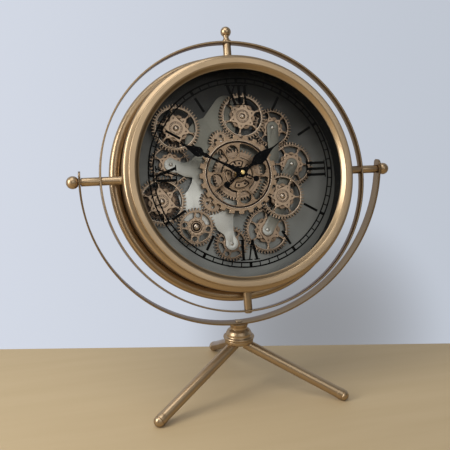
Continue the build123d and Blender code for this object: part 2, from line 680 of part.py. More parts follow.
def pin(name, front, shoulder, head, height):
    """A pin from a front depth to the dial plate, with a hexagonal shoulder and a round head."""
    solid = slab(Circle(PIN_DIAMETER / 2), front, DIAL_FRONT)
    solid += slab(RegularPolygon(SHOULDER_DIAMETER / 2, 6), *shoulder)
    if height:
        solid += slab(Circle(head / 2), front - height, front)
    x, z = train[name].centre
    pins.append(Pos(x, 0, z) * solid)


front_shoulder = (FRONT_BACK + END_FLOAT, BRIDGE_FRONT)
rear_shoulder = (REAR_BACK + END_FLOAT, DIAL_FRONT)
for name in front_wheels + front_pinions:
    seat = FRONT_LAYER - END_FLOAT - (STAR_RAISE if name in SPOKE_TURNS else 0)
    height = PINION_HEAD_HEIGHT if name in front_pinions else PIN_HEAD_HEIGHT
    pin(name, seat, rear_shoulder if name in rear_teeth else front_shoulder, PIN_HEAD_DIAMETER, height)
for name in arm_wheels:
    pin(name, BRIDGE_FRONT, rear_shoulder, RIVET_HEAD_DIAMETER, RIVET_HEAD_HEIGHT)
pin("idler", BRIDGE_BACK, rear_shoulder, 0, 0)
clock["gear_pins"] = Compound(pins)

# Movement: a flat box behind the dial plate with its bush through it, a cell trough and a setting knob
bush = slab(Circle(BUSH_DIAMETER / 2), BUSH_FRONT, DIAL_BACK)
pipe_bore = slab(Circle(HOUR_PIPE_DIAMETER / 2 + PIN_CLEARANCE), BUSH_FRONT, DIAL_BACK + PIPE_DEPTH)
cell_centre = (0, -MOVEMENT_SIZE / 2 + CELL_BOX_WALL + CELL_DIAMETER / 2)
trough = Pos(*cell_centre) * Rectangle(CELL_LENGTH + CELL_END_PLAY, CELL_DIAMETER + CELL_SIDE_PLAY)
cell_floor = MOVEMENT_BACK - CELL_DIAMETER + CELL_PROUD
movement = slab(Rectangle(MOVEMENT_SIZE, MOVEMENT_SIZE), DIAL_BACK, MOVEMENT_BACK) + bush - pipe_bore
movement -= slab(trough, cell_floor, MOVEMENT_BACK)
knob_place = Pos(MOVEMENT_SIZE / 4, MOVEMENT_SIZE / 4)
stem_bore = knob_place * Circle(STEM_DIAMETER / 2 + PIN_CLEARANCE)
stem_hole = slab(stem_bore, MOVEMENT_BACK - STEM_DEPTH, MOVEMENT_BACK)
clock["movement"] = movement - stem_hole


def cell(x, z, depth):
    """A round cell lying along X with its small end cap."""
    half = CELL_LENGTH / 2
    shoulder = x + half - CELL_CAP_LENGTH
    body = rod(CELL_DIAMETER, (x - half, depth, z), (shoulder, depth, z))
    return body + rod(CELL_CAP_DIAMETER, (shoulder, depth, z), (x + half, depth, z))


clock["movement_cell"] = cell(*cell_centre, cell_floor + CELL_DIAMETER / 2)
setting_seat = COVER_BACK + END_FLOAT
stem_end = MOVEMENT_BACK - STEM_DEPTH + END_FLOAT
knob = slab(knob_place * Circle(KNOB_SET_DIAMETER / 2), setting_seat, setting_seat + KNOB_SET_HEIGHT)
clock["setting_knob"] = knob + slab(knob_place * Circle(STEM_DIAMETER / 2), stem_end, setting_seat)

nut = RegularPolygon(BUSH_NUT / 2, 6) - Circle(BUSH_DIAMETER / 2)
wheel_seat = WHEEL_FRONT - STAR_RAISE - END_FLOAT
clock["bush_nuts"] = Compound(
    [
        slab(nut, DIAL_FRONT - BUSH_NUT_HEIGHT, DIAL_FRONT),
        slab(nut, wheel_seat - BUSH_NUT_HEIGHT, wheel_seat),
    ]
)


# Hands: spade hands drawn along +x, then turned to the time shown
def hand(length, bulb, bulb_length, bulb_width, tail, disc, boss):
    low, high = (bulb - bulb_length / 2, 0), (bulb + bulb_length / 2, 0)
    stem = HAND_STEM / 2
    blade = make_face(
        [
            ThreePointArc(low, (bulb, bulb_width / 2), high),
            ThreePointArc(high, (bulb, -bulb_width / 2), low),
        ]
    )
    spine = [(-tail, -stem), (bulb, -stem), (length, 0), (bulb, stem), (-tail, stem)]
    blade += make_face(Polyline(*spine, close=True))
    return blade + Pos(-tail, 0) * Circle(disc / 2) + Circle(boss / 2)


hour_face = hand(**HOUR_HAND) - Circle(HOUR_PIPE_DIAMETER / 2)
minute_face = hand(**MINUTE_HAND) - Circle(MINUTE_PIPE_DIAMETER / 2)
hour_back = HOUR_HAND_DEPTH + HAND_THICKNESS
minute_back = MINUTE_HAND_DEPTH + HAND_THICKNESS
clock["hour_hand"] = slab(Rot(0, 0, HOUR_REST) * hour_face, HOUR_HAND_DEPTH, hour_back)
clock["minute_hand"] = slab(Rot(0, 0, MINUTE_REST) * minute_face, MINUTE_HAND_DEPTH, minute_back)
pipe_end = DIAL_BACK + PIPE_DEPTH - END_FLOAT
arbor_bore = Circle(MINUTE_PIPE_DIAMETER / 2 + PIN_CLEARANCE)
clock["hour_pipe"] = slab(Circle(HOUR_PIPE_DIAMETER / 2) - arbor_bore, HOUR_HAND_DEPTH, pipe_end)
clock["minute_arbor"] = slab(Circle(MINUTE_PIPE_DIAMETER / 2), MINUTE_HAND_DEPTH, pipe_end)
nut_front = MINUTE_HAND_DEPTH - HAND_NUT_HEIGHT
clock["hand_nut"] = slab(Circle(HAND_NUT_DIAMETER / 2), nut_front, MINUTE_HAND_DEPTH)

# Gear drive: a geared motor under the movement, its pinion, a box with two cells and a slide switch
drive_x, drive_z = drive.centre
drive_top = -MOVEMENT_SIZE / 2 - DRIVE_GAP
drive_box = Pos(drive_x, drive_top - DRIVE_HEIGHT / 2) * Rectangle(DRIVE_WIDTH, DRIVE_HEIGHT)
drive_place = Pos(drive_x, drive_z)
shaft_bore = drive_place * Circle(STEM_DIAMETER / 2 + PIN_CLEARANCE)
switch_place = Pos(drive_x, drive_top - DRIVE_HEIGHT + SWITCH_INSET)
slot_height = SWITCH_WIDTH + 2 * SWITCH_CLEARANCE
switch_slot = switch_place * Rectangle(slot_height + SWITCH_TRAVEL, slot_height)
motor = slab(drive_box, DIAL_BACK, MOVEMENT_BACK)
motor -= slab(shaft_bore, DIAL_BACK, DIAL_BACK + STEM_DEPTH)
clock["gear_motor"] = motor - slab(switch_slot, MOVEMENT_BACK - SWITCH_DEPTH, MOVEMENT_BACK)
pinion = drive_place * drive.face()
clock["drive_pinion"] = slab(pinion, REAR_LAYER, REAR_BACK) + slab(
    drive_place * Circle(STEM_DIAMETER / 2), REAR_BACK, DIAL_BACK + STEM_DEPTH - END_FLOAT
)
switch_knob = Pos(-SWITCH_TRAVEL / 2, 0) * switch_place * Rectangle(SWITCH_WIDTH, SWITCH_WIDTH)
switch_seat = MOVEMENT_BACK - SWITCH_DEPTH
clock["gear_switch"] = slab(switch_knob, switch_seat + END_FLOAT, COVER_BACK + SWITCH_HEIGHT)

box_right = drive_x - DRIVE_WIDTH / 2 - BOX_GAP
box_width = CELL_LENGTH + 2 * CELL_END_PLAY + 2 * CELL_BOX_WALL
box_height = 2 * CELL_DIAMETER + 3 * CELL_GAP + 2 * CELL_BOX_WALL
box_place = Pos(box_right - box_width / 2, drive_top - box_height / 2)
box_floor = DIAL_BACK + CELL_BOX_WALL
box_back = box_floor + CELL_DIAMETER
inside = Rectangle(box_width - 2 * CELL_BOX_WALL, box_height - 2 * CELL_BOX_WALL)
cell_box = slab(box_place * Rectangle(box_width, box_height), DIAL_BACK, box_back)
clock["cell_box"] = cell_box - slab(box_place * inside, box_floor, box_back)
box_x = box_right - box_width / 2
box_z = drive_top - box_height / 2
cell_step = (CELL_DIAMETER + CELL_GAP) / 2
clock["drive_cells"] = Compound(
    [cell(box_x, box_z + side * cell_step, box_floor + CELL_DIAMETER / 2) for side in (1, -1)]
)

# Dial plate, with holes for the bush and the drive shaft
dial_face = Circle(LINER_OUTER + DIAL_OVERLAP) - Circle(BUSH_DIAMETER / 2)
dial_face -= drive_place * Circle(STEM_DIAMETER / 2 + SLEEVE_CLEARANCE)
clock["dial_plate"] = slab(dial_face, DIAL_FRONT, DIAL_BACK)

# Back cover: a disc on the shell's back edge with a hole for the setting knob and a slot for the switch
cover_face = Circle(RIM_RADIUS + SHELL_WALL) - switch_slot
cover_face -= knob_place * Circle(STEM_DIAMETER / 2 + SLEEVE_CLEARANCE)
cover = slab(cover_face, SHELL_BACK, COVER_BACK)

# Posts and screws: the screws pull the cover towards the dial plate and so close the case
posts, screws = [], []
for i in range(POST_COUNT):
    place = Pos(*polar(LINER_INNER - POST_INSET, 360 * (i + 0.5) / POST_COUNT))
    shank = slab(place * Circle(COVER_SCREW_DIAMETER / 2), COVER_BACK - COVER_SCREW_LENGTH, COVER_BACK)
    head = slab(place * Circle(COVER_SCREW_HEAD / 2), COVER_BACK, COVER_BACK + COVER_SCREW_HEAD_HEIGHT)
    posts.append(slab(place * RegularPolygon(POST_DIAMETER / 2, 6), DIAL_BACK, SHELL_BACK) - shank)
    screws.append(shank + head)
    cover -= shank
clock["back_cover"] = cover
clock["dial_posts"] = Compound(posts)
clock["cover_screws"] = Compound(screws)

for name, solid in clock.items():
    parts[name] = lean(solid)

# The origin moves from under the hub to the middle of the feet's outline
to_middle = Pos(0, -LEG_REACH / 4, 0)
os.makedirs("parts", exist_ok=True)
for name, solid in parts.items():
    export_step(to_middle * solid, "parts/" + name + ".step")
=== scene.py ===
import json
from math import atan2, cos, degrees, hypot, pi, radians, sin, sqrt, tan

import bmesh
import bpy
from mathutils import Matrix, Vector


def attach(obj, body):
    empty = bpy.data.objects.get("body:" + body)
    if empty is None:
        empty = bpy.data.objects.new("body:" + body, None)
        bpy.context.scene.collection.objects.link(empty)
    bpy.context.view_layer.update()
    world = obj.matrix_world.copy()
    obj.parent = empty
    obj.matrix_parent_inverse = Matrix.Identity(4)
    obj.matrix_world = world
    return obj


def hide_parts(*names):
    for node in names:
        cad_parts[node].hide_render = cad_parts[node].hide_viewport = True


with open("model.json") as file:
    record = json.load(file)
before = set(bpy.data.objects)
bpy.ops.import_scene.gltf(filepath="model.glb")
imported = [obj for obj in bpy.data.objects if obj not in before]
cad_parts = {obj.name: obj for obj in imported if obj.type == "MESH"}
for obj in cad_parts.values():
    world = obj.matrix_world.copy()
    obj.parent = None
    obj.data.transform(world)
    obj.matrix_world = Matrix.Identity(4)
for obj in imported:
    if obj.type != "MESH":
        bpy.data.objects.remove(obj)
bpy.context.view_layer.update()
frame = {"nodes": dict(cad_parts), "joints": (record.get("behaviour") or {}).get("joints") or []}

# Table clock with open gears: a gold case in a tilting ring, on a yoke and a tripod.
# Shapes are drawn in millimetres. On the clock they are upright, as (x, depth, z) about the tilt axis,
# with the front at negative depths, and the dial's own lean and place come from the frame.
# Profiles are lists of (radius, depth) or (radius, height), with the rounding of a corner as third number.

joints = {joint["name"]: joint for joint in frame["joints"]}
TILT = Vector(joints["clock_tilt"]["pos_m"])
FRONT = Vector(joints["centre_spin"]["axis"])
MM = 0.001
SIDE = Vector((1, 0, 0))
UP = SIDE.cross(-FRONT)
LOWER_LEFT = (-0.6 * SIDE - 0.8 * UP).normalized()
LEAN = Matrix((SIDE, -FRONT, UP)).transposed().to_4x4()
DIAL = Matrix.Translation(TILT) @ LEAN @ Matrix.Scale(MM, 4)
TO_DIAL = DIAL.inverted()
STAND = Matrix.Translation((0, TILT.y, 0)) @ Matrix.Scale(MM, 4)
UPRIGHT = Matrix.Rotation(pi / 2, 4, "X")
AXIS_HEIGHT = TILT.z / MM
WELD = 0.001
SOLID_WELD = 2e-6
CREASE = 35

# Sizes of the stand
LEG_DIAMETER = 16.0
LEG_REACH = 161.0
LEG_INSET = 10.0
LEG_ENTRY = (22.0, 71.0)
LEG_ANGLES = {"left": -150, "right": -30, "back": 90}
FOOT_RADIUS = 8.4
FOOT_HEIGHT = 7.846
FOOT_SKIRT = 9.0
FOOT_PROFILE = [(0, -FOOT_SKIRT, 0), (FOOT_RADIUS, -FOOT_SKIRT, 0.5), (FOOT_RADIUS, -1.4, 0.4),
                (FOOT_RADIUS - 0.5, -0.9, 0.2)]
YOKE_OUTER = 228.7
YOKE_INNER = 226.1
HUB_TOP = AXIS_HEIGHT - YOKE_OUTER + 0.6
HUB_PROFILE = [
    (0, 78, 0), (20.6, 78, 1.2), (22.2, 80.0, 1.6), (22.4, 84.2, 0.8), (21.6, 84.8, 0.4), (23.2, 85.3, 0.6),
    (24.2, 87.2, 1.6), (23.4, 89.0, 0.8), (20.6, 89.6, 0.5), (20.0, 90.8, 0.5), (19.8, 94.0, 3.0),
    (17.4, 98.2, 4.0), (14.0, 100.8, 0.8), (13.2, 101.4, 0.4), (13.2, 104.2, 2.0), (14.2, 106.4, 1.5),
    (15.0, HUB_TOP, 0), (0, HUB_TOP, 0)]
SEAT = AXIS_HEIGHT - YOKE_INNER
HUB_SCREW = [(0, SEAT - 4, 0), (3.5, SEAT - 4, 0), (3.5, SEAT, 0), (5.5, SEAT, 0), (5.5, SEAT + 0.96, 0.4),
             (3.3, SEAT + 1.76, 0.8), (0, SEAT + 1.76, 0)]

# Sizes of the ring, the rods and the knobs
RING_OUTER = 200.0
RING_INNER = 197.4
RING_HALF = 7.0
RING_PROFILE = [(RING_INNER, -RING_HALF, 0.5), (RING_OUTER, -RING_HALF, 0.5), (RING_OUTER, RING_HALF, 0.5),
                (RING_INNER, RING_HALF, 0.5)]
RING_SCREW = [(0, 1 - RING_OUTER, 0), (5.5, 1 - RING_OUTER, 0), (5.5, -RING_OUTER - 1.2, 0.5),
              (3.4, -RING_OUTER - 2.4, 1.0), (0, -RING_OUTER - 2.4, 0)]
ROD_RADIUS = 6.0
ROD_FOOT = 6.5
ROD_START = 168.2
ROD_END = RING_INNER - 0.2
ROD_PROFILE = [(0, ROD_START, 0), (ROD_FOOT, ROD_START, 0), (ROD_FOOT, ROD_START + 3.6, 0.5),
               (ROD_RADIUS, ROD_START + 4.0, 0.2), (ROD_RADIUS, ROD_END, 0.4), (0, ROD_END, 0)]
KNOB_RADIUS = 9.0
KNOB_CENTRE = 236.4
KNOB_SEAT = 229.1
STUD_RADIUS = 4.0
PIVOT_START = RING_OUTER - 0.2
PIVOT_END = 225.2
PIVOT_PROFILE = [(0, PIVOT_START, 0), (ROD_RADIUS, PIVOT_START, 0.4), (ROD_RADIUS, PIVOT_END, 0.4),
                 (STUD_RADIUS, PIVOT_END, 0), (STUD_RADIUS, KNOB_CENTRE, 0), (0, KNOB_CENTRE, 0)]
FINIAL_CENTRE = 215.5
FINIAL_RADIUS = 7.8
FINIAL_START = -0.95
FINIAL_FOOT = [(0, RING_OUTER - 0.5, 0), (7.2, RING_OUTER - 0.5, 0), (7.2, RING_OUTER + 1.5, 0.8),
               (5.0, RING_OUTER + 3.2, 1.0), (4.4, RING_OUTER + 6.5, 1.5)]

# Sizes of the case and the dial
GLASS_RADIUS = 156.5
GLASS_FRONT = -35.0
GLASS_BACK = -32.0
GLASS_PROFILE = [(0, GLASS_FRONT, 0), (GLASS_RADIUS, GLASS_FRONT, 0.4), (GLASS_RADIUS, GLASS_BACK, 0.4),
                 (0, GLASS_BACK, 0)]
LINER = (160.0, 161.2)
DIAL_FRONT = 12.0
DIAL_BACK = 13.5
DIAL_RADIUS = 164.2
SHELL_OUTSIDE = [
    (161.6, -34.6, 0.4), (163.8, -34.6, 1.0), (170.8, -32.0, 8.0), (170.8, -17.0, 5.0), (168.2, -14.4, 1.0),
    (167.8, -9.0, 4.0), (168.0, 1.0, 16.0), (170.6, 19.0, 1.0)]
SHELL_INSIDE = [(176.0, 34.0), (182.4, 26.0), (170.0, 22.0), (166.0, 19.0), (166.0, -9.0), (169.0, -27.8),
                (161.6, -33.0)]
BEAD_CENTRE = (176.5, 24.6)
BEAD_RADIUS = 8.5
BEAD_SWEEP = (radians(-155), radians(61))
BEZEL_PROFILE = [
    (148.6, GLASS_FRONT, 0), (148.6, -36.6, 0.4), (149.8, -37.0, 0.3), (153.6, -42.4, 2.0),
    (155.6, -43.3, 2.0), (162.6, -43.6, 1.2), (163.6, -42.4, 0.8), (163.6, -36.0, 0.5), (162.8, -34.6, 0.3),
    (161.4, -34.6, 0), (161.4, GLASS_BACK, 0), (GLASS_RADIUS, GLASS_BACK, 0), (GLASS_RADIUS, GLASS_FRONT, 0)]
COVER_BACK = 35.2
COVER_BEADS = (158.0, 13.0)
COVER_BEAD_SECTION = [(-2.4, -0.5, 0), (-2.4, 0, 0.3), (-1.2, 0.7, 0.6), (1.2, 0.7, 0.6), (2.4, 0, 0.3),
                      (2.4, -0.5, 0)]

# Bays cut out of the bridge's outline, as (x, z, rounding), and the depths between which they are cut
WAIST_RIGHT = [(6, -50, 0), (-6, -50, 0), (-10.5, -60, 9), (-12, -78, 18), (-11, -88, 10), (-7, -96, 5),
               (-6.2, -101, 0), (6, -101, 0)]
WAIST_LEFT = [(-46, -81, 0), (-35.5, -79, 0), (-26.5, -86, 7), (-24.2, -94, 5), (-24.6, -101, 0),
              (-46, -101, 0)]
LEFT_BAY = [(-110, 8, 0), (-104.5, 13, 0), (-98.6, 9.3, 7), (-88.5, 7.6, 6), (-79.5, 2.2, 8),
            (-66.5, -0.3, 1), (-69.5, -9, 6), (-75, -18.5, 6), (-80, -23.5, 5), (-93, -25.5, 0), (-96, -8, 0)]
UPPER_BAY = [(-104, 31, 0), (-97, 30.4, 4), (-90, 26.5, 5), (-77.7, 21.5, 8), (-68.5, 24.5, 8),
             (-60.5, 31, 6), (-57, 40, 5), (-61, 49, 0), (-104, 49, 0)]
BRIDGE_FRONT = 2.6
BRIDGE_CUT = (BRIDGE_FRONT - 1, BRIDGE_FRONT + 3)

# Depths of the gears, and what all gears share
FRONT_LAYER = (-2.5, 1.0)
FRONT_DEEP = 2.2
REAR_LAYER = (6.0, 9.0)
REAR_DEEP = 11.4
GEAR_SOFT = 0.25
SUNK = 0.3
AXLE_BORE = 2.0
TOOTH_DEPTH = 4.1
TOOTH_CUT = 0.25
FINE_TEETH = (0.13, 0.27)
WINDOW_POINTS = 7
COMPOUND_GEARS = ("gear_upper_left", "gear_left", "gear_lower_right")
STAR_PHASES = {"gear_upper_left": 41, "gear_top": 17, "gear_left": 37, "gear_lower_right": 54,
               "gear_mid_left": 30, "gear_upper_right": 40, "gear_right": 57, "gear_bottom_right": 30}

# Sizes of a star gear and of a gear with holes, for a tip radius that others are scaled from
STAR_GEAR_TIP = 36.0
STAR_RAISE = 0.9
STAR_WINDOW = (16.5, 28.8)
STAR_RIM = (28.6, 30.4)
STAR_FLOOR = 17.8
STAR_REACH = 19.8
SPOKE_RAISE = 0.45
SPOKE = [(17.0, -1.5), (23.5, -0.8), (28.8, -2.6), (28.8, 2.6), (23.5, 0.8), (17.0, 1.5)]
COMPOUND_SLEEVE = (2.6, 5.05)
COIN_RADIUS = 9.2
COIN_PIN = 3.7
HUB_NOTCHES = 20
HOLED_GEAR_TIP = 28.5
HOLE = (3.7, 4.7)
HOLE_CIRCLE = 17.4
HOLED_WINDOW = (13.6, 21.4)
HOLED_RIM = (21.3, 22.8)
HOLED_BOSS = (8.4, 12.6)
BOSS_RAISE = 0.7
BOSS_PITS = 12
BUTTON_RING = (6.2, 7.4)
BUTTON_RADIUS = 4.6
PINION_HOLE = (2.4, 3.0)
PINION_HOLES = 5
PINION_CIRCLE = 8.6
PINION_BOSS = (2.6, 5.2)

# Sizes of the centre wheels and the pins
WHEEL_LAYER = (-7.5, -4.0)
WHEEL_TIP = 58.5
WHEEL_ROOT = 53.9
WHEEL_TEETH = 24
COARSE_TEETH = (0.23, 0.29)
WHEEL_RIM = (49.2, 50.6)
WHEEL_DISC = 49.3
WHEEL_GROOVE = 47.0
WHEEL_HOLE = (9.4, 10.7)
WHEEL_HOLE_CIRCLE = 34.5
WHEEL_HOLE_TURN = 12
WHEEL_WINDOW = (24.6, 46.0)
WHEEL_HUB = (4.6, 22.4)
WHEEL_NOSE = (4.6, 9.8)
WHEEL_PIPE = (4.55, 7.05)
KIDNEY_RAISE = 1.2
KIDNEY_PITS = (16.0, 18)
CROWN_TEETH = 48
CROWN_TIP = 38.4
BRIDGE_PINS = ("gear_mid_left", "gear_upper_right", "gear_right", "gear_bottom_right", "gear_bottom")
PLAIN_PINS = ("pinion_upper", "pinion_lower", "gear_top", "gear_lower_left")

# Hands, as half-widths along their length, and the print on the back of the glass
MINUTE_STATIONS = [
    (-20, 0.9), (-9, 1.1), (-6.5, 2.4), (-3, 4.9), (0, 5.6), (4, 5.4), (12, 3.8), (22, 2.4), (38, 1.5),
    (52, 1.5), (55, 2.4), (57, 3.2), (59.5, 3.1), (61.5, 2.5), (63, 2.9), (65, 5.4), (67.5, 6.9), (70.5, 7.1),
    (75.5, 6.0), (82, 3.8), (89, 1.8), (95, 0.9), (110, 0.35)]
HOUR_STATIONS = [
    (-26, 1.1), (-10, 1.3), (-7.5, 3.0), (-4, 6.0), (0, 6.6), (4, 6.0), (8, 3.6), (12, 2.0), (16, 1.8),
    (20, 2.4), (24, 4.6), (29, 7.2), (34, 8.2), (39, 7.8), (45, 6.0), (51, 3.8), (57, 2.0), (62, 1.1),
    (76, 0.5)]
HAND_THICKNESS = 0.6
HOUR_DEPTH = -26.6
HOUR_ANGLE = 35
MINUTE_DEPTH = -28.6
MINUTE_ANGLE = 153
NUT_PROFILE = [(0, MINUTE_DEPTH, 0), (3.2, MINUTE_DEPTH, 0), (3.2, -30.2, 0.4), (2.2, -30.8, 0.6),
               (0, -30.8, 0)]
PRINT_LAYER = (-31.95, -31.85)
TRACK = (128.8, 135.4)
TRACK_HALF = 1.05
NUMERAL_RADII = (97.0, 125.0)
NUMERALS = {"XII": 90, "III": 0, "VI": -90, "IX": 180}
BAR_RADII = (101.0, 124.0)
BAR_STROKE = 3.6
THICK_STROKE = 3.9
THIN_STROKE = 2.2
SERIF_STROKE = 1.6
SERIF_HALF = 4.1
MINUTE_STROKE = 1.6
FIVE_STROKE = 4.2

# Letters, each with its width and its strokes as (x at the top, x at the foot, width)
LETTERS = {"I": (8.6, [(0, 0, THICK_STROKE)]),
           "V": (20.0, [(-5.6, 0, THICK_STROKE), (5.6, 0, THIN_STROKE)]),
           "X": (15.0, [(-5.2, 5.2, THICK_STROKE), (5.2, -5.2, THIN_STROKE)])}

# Setting knob, and the count, circle, depth and size of its ribs
SETTING_KNOB = [(0, 24, 0), (1.5, 24, 0), (1.5, 35.5, 0), (6.2, 35.5, 0.3), (6.2, 39.5, 0.8), (0, 39.5, 0)]
KNOB_RIBS = (30, 6.4, 37.4, (1.0, 3.2, 0.7))


def polar(radius, angle):
    """A point at a radius and an angle in degrees."""
    return radius * cos(radians(angle)), radius * sin(radians(angle))


# Finishes
class Value:
    """A shader output that can be reckoned with: arithmetic on it adds Math nodes."""

    def __init__(self, nodes, socket):
        self.nodes = nodes
        self.socket = socket

    def reckon(self, operation, first, second):
        return self.nodes.node("Math", {"operation": operation}, {0: first, 1: second})

    def __add__(self, other):
        return self.reckon("ADD", self, other)

    def __mul__(self, other):
        return self.reckon("MULTIPLY", self, other)

    def __sub__(self, other):
        return self.reckon("SUBTRACT", self, other)

    def __rsub__(self, other):
        return self.reckon("SUBTRACT", other, self)

    __radd__ = __add__
    __rmul__ = __mul__


class Nodes:
    """A shader tree under construction, with one way to add any node."""

    def __init__(self, tree):
        self.tree = tree

    def node(self, kind, settings=None, inputs=None, output=0):
        made = self.tree.nodes.new("ShaderNode" + kind)
        for key, value in (settings or {}).items():
            setattr(made, key, value)
        for key, value in (inputs or {}).items():
            self.feed(made.inputs[key], value)
        return Value(self, made.outputs[output])

    def feed(self, socket, value):
        """Links a shader output to a socket, or sets a constant on it."""
        if isinstance(value, Value):
            self.tree.links.new(value.socket, socket)
        else:
            socket.default_value = value

    def band(self, value, low, high):
        """0 below low, 1 above high and a smooth change between."""
        values = {"Value": value, "From Min": low, "From Max": high}
        return self.node("MapRange", {"interpolation_type": "SMOOTHSTEP"}, values)

    def mix(self, factor, first, second):
        first, second = [(*c, 1) if isinstance(c, tuple) else c for c in (first, second)]
        return self.node("Mix", {"data_type": "RGBA"}, {0: factor, 6: first, 7: second}, 2)

    def dot(self, vector, direction):
        """How far a vector reaches along a direction."""
        return self.node("VectorMath", {"operation": "DOT_PRODUCT"}, {0: vector, 1: direction}, "Value")

    def bump(self, height, depth, strength):
        values = {"Height": height, "Distance": depth, "Strength": strength}
        return self.node("Bump", None, values, "Normal")


class Finish(Nodes):
    """A material on Object coordinates round one Principled shader."""

    def __init__(self, name, slot, **constants):
        self.slot = slot
        self.material = bpy.data.materials.new(name)
        self.material.use_nodes = True
        super().__init__(self.material.node_tree)
        self.shader = self.tree.nodes["Principled BSDF"]
        self.place = self.node("TexCoord", output="Object")
        self.done(**constants)

    def noise(self, scale, detail, place=None, distortion=0.0):
        values = {"Vector": place or self.place, "Scale": scale, "Detail": detail, "Distortion": distortion}
        return self.node("TexNoise", None, values, "Fac")

    def stretched(self, scale, turn=(0, 0, 0)):
        """Object coordinates with a scale of their own for each axis."""
        return self.node("Mapping", None, {"Vector": self.place, "Scale": scale, "Rotation": turn})

    def along(self, direction):
        """How far a point lies from the tilt axis along a direction, in metres."""
        return self.dot(self.place, direction) - direction.dot(TILT)

    def done(self, **sockets):
        """Feeds the sockets of the Principled shader, named with underscores for spaces."""
        for name, value in sockets.items():
            self.feed(self.shader.inputs[name.replace("_", " ")], value)
        return self


EDGE_TINT = (0.22, 0.14, 0.075, 1)
RUBBED_BRONZE = (0.68, 0.55, 0.42)
# Paler colour for the painted highlight on the tops of gear rims, hubs and pins
CREST_HIGHLIGHT_BRONZE = (0.76, 0.66, 0.54)


def gold_paint(name, light, dark):
    """Satin antique gold: a fine metal flake under a clear lacquer, a little browner in patches."""
    finish = Finish(name, "gold_paint", Metallic=0.9, Specular_Tint=EDGE_TINT, Coat_Roughness=0.15)
    patches = finish.band(finish.noise(22, 4), 0.35, 0.75)
    flake = finish.noise(5200, 2)
    glint = tuple(1.35 * c for c in light)
    colour = finish.mix(patches * 0.45, light, dark)
    colour = finish.mix(finish.band(flake, 0.45, 0.8) * 0.3, colour, glint)
    roughness = 0.29 + 0.07 * patches + 0.06 * flake
    lacquer = 0.45 + 0.15 * patches
    bump = finish.bump(finish.noise(1400, 2), 0.03 * MM, 0.5)
    return finish.done(Base_Color=colour, Roughness=roughness, Coat_Weight=lacquer, Normal=bump)


def gear_bronze(name, low, high, light, dark):
    """Bronze, dark brown in the hollows, partly a dark wash and partly painted shade, brighter where it
    stands proud, with paler painted highlights on the crests.
    """
    finish = Finish(name, "gear_bronze", Metallic=0.85)
    height = finish.along(FRONT)
    proud = finish.band(height, low * MM, high * MM)
    # Painted highlight on the tops of rim lines, hubs and pins: a paler colour and a lower roughness.
    crest_highlight = finish.band(height, (high + 0.3) * MM, (high + 0.6) * MM)
    blotch = finish.noise(130, 4)
    # Painted shade with wear: low in the hollows, which take the dark colour, and high on proud parts and
    # random blotches.
    painted_light_and_wear = finish.band(proud * 0.8 + blotch * 0.4, 0.22, 0.95)
    rubbed = finish.band(finish.noise(900, 3), 0.5, 0.75) * 0.3 * painted_light_and_wear
    colour = finish.mix(painted_light_and_wear, dark, light)
    colour = finish.mix(rubbed, colour, RUBBED_BRONZE)
    colour = finish.mix(crest_highlight * 0.5, colour, CREST_HIGHLIGHT_BRONZE)
    roughness = 0.38 - 0.1 * painted_light_and_wear + 0.06 * blotch - 0.12 * crest_highlight
    bump = finish.bump(finish.noise(1100, 3), 0.06 * MM, 0.5)
    return finish.done(Base_Color=colour, Roughness=roughness, Normal=bump)


def brushed_silver():
    """Grey-green plate with fine straight brush lines, and a painted highlight that makes it paler towards
    the lower left.
    """
    finish = Finish("brushed_silver", "bridge_silver", Metallic=0.75)
    lines = finish.noise(1.0, 3, finish.stretched((420, 420, 4200), (0, 0.5, 0)))
    clouds = finish.noise(16, 3)
    # Painted highlight: paler towards the lower left, where the light falls.
    pale = finish.band(finish.along(LOWER_LEFT) + clouds * 0.03, 0.035, 0.08)
    colour = finish.mix(pale, (0.20, 0.197, 0.162), (0.76, 0.77, 0.72))
    colour = finish.mix(finish.band(lines, 0.4, 0.7) * 0.2, colour, (0.50, 0.50, 0.46))
    bump = finish.bump(lines, 0.02 * MM, 0.6)
    return finish.done(Base_Color=colour, Roughness=0.36 + 0.12 * lines, Normal=bump)


def dial_grey():
    """Smoked plate with cloudy streaks of painted reflection, painted near black at the top as shade from the
    drum, and pale grey at the foot as painted reflection.
    """
    finish = Finish("dial_gunmetal", "dial_grey", Metallic=0.6)
    # Painted reflection: cloudy streaks, which also break up the edge of the painted shade.
    streaks = finish.noise(1.0, 3, finish.stretched((7, 7, 22), (0, 0.7, 0)), 0.5)
    lines = finish.noise(1.0, 2, finish.stretched((300, 300, 3600)))
    # Painted shade near black at the top, where the drum shades the plate, and a painted reflection paler
    # towards the foot.
    foot = finish.band(finish.along(-UP) + streaks * 0.12, -0.09, 0.19)
    colour = finish.mix(foot, (0.03, 0.03, 0.028), (0.36, 0.37, 0.345))
    colour = finish.mix(finish.band(streaks, 0.45, 0.75) * 0.35, colour, (0.16, 0.168, 0.17))
    bump = finish.bump(lines, 0.02 * MM, 0.5)
    return finish.done(Base_Color=colour, Roughness=0.36 + 0.14 * lines, Normal=bump)


def matt_black(name, slot, shade, roughness):
    """Black paint or plastic with a fine grain."""
    finish = Finish(name, slot, Specular_IOR_Level=0.05)
    grain = finish.noise(1800, 3)
    colour = finish.mix(grain, shade, tuple(1.6 * c for c in shade))
    bump = finish.bump(grain, 0.04 * MM, 0.4)
    return finish.done(Base_Color=colour, Roughness=roughness + 0.1 * grain, Normal=bump)


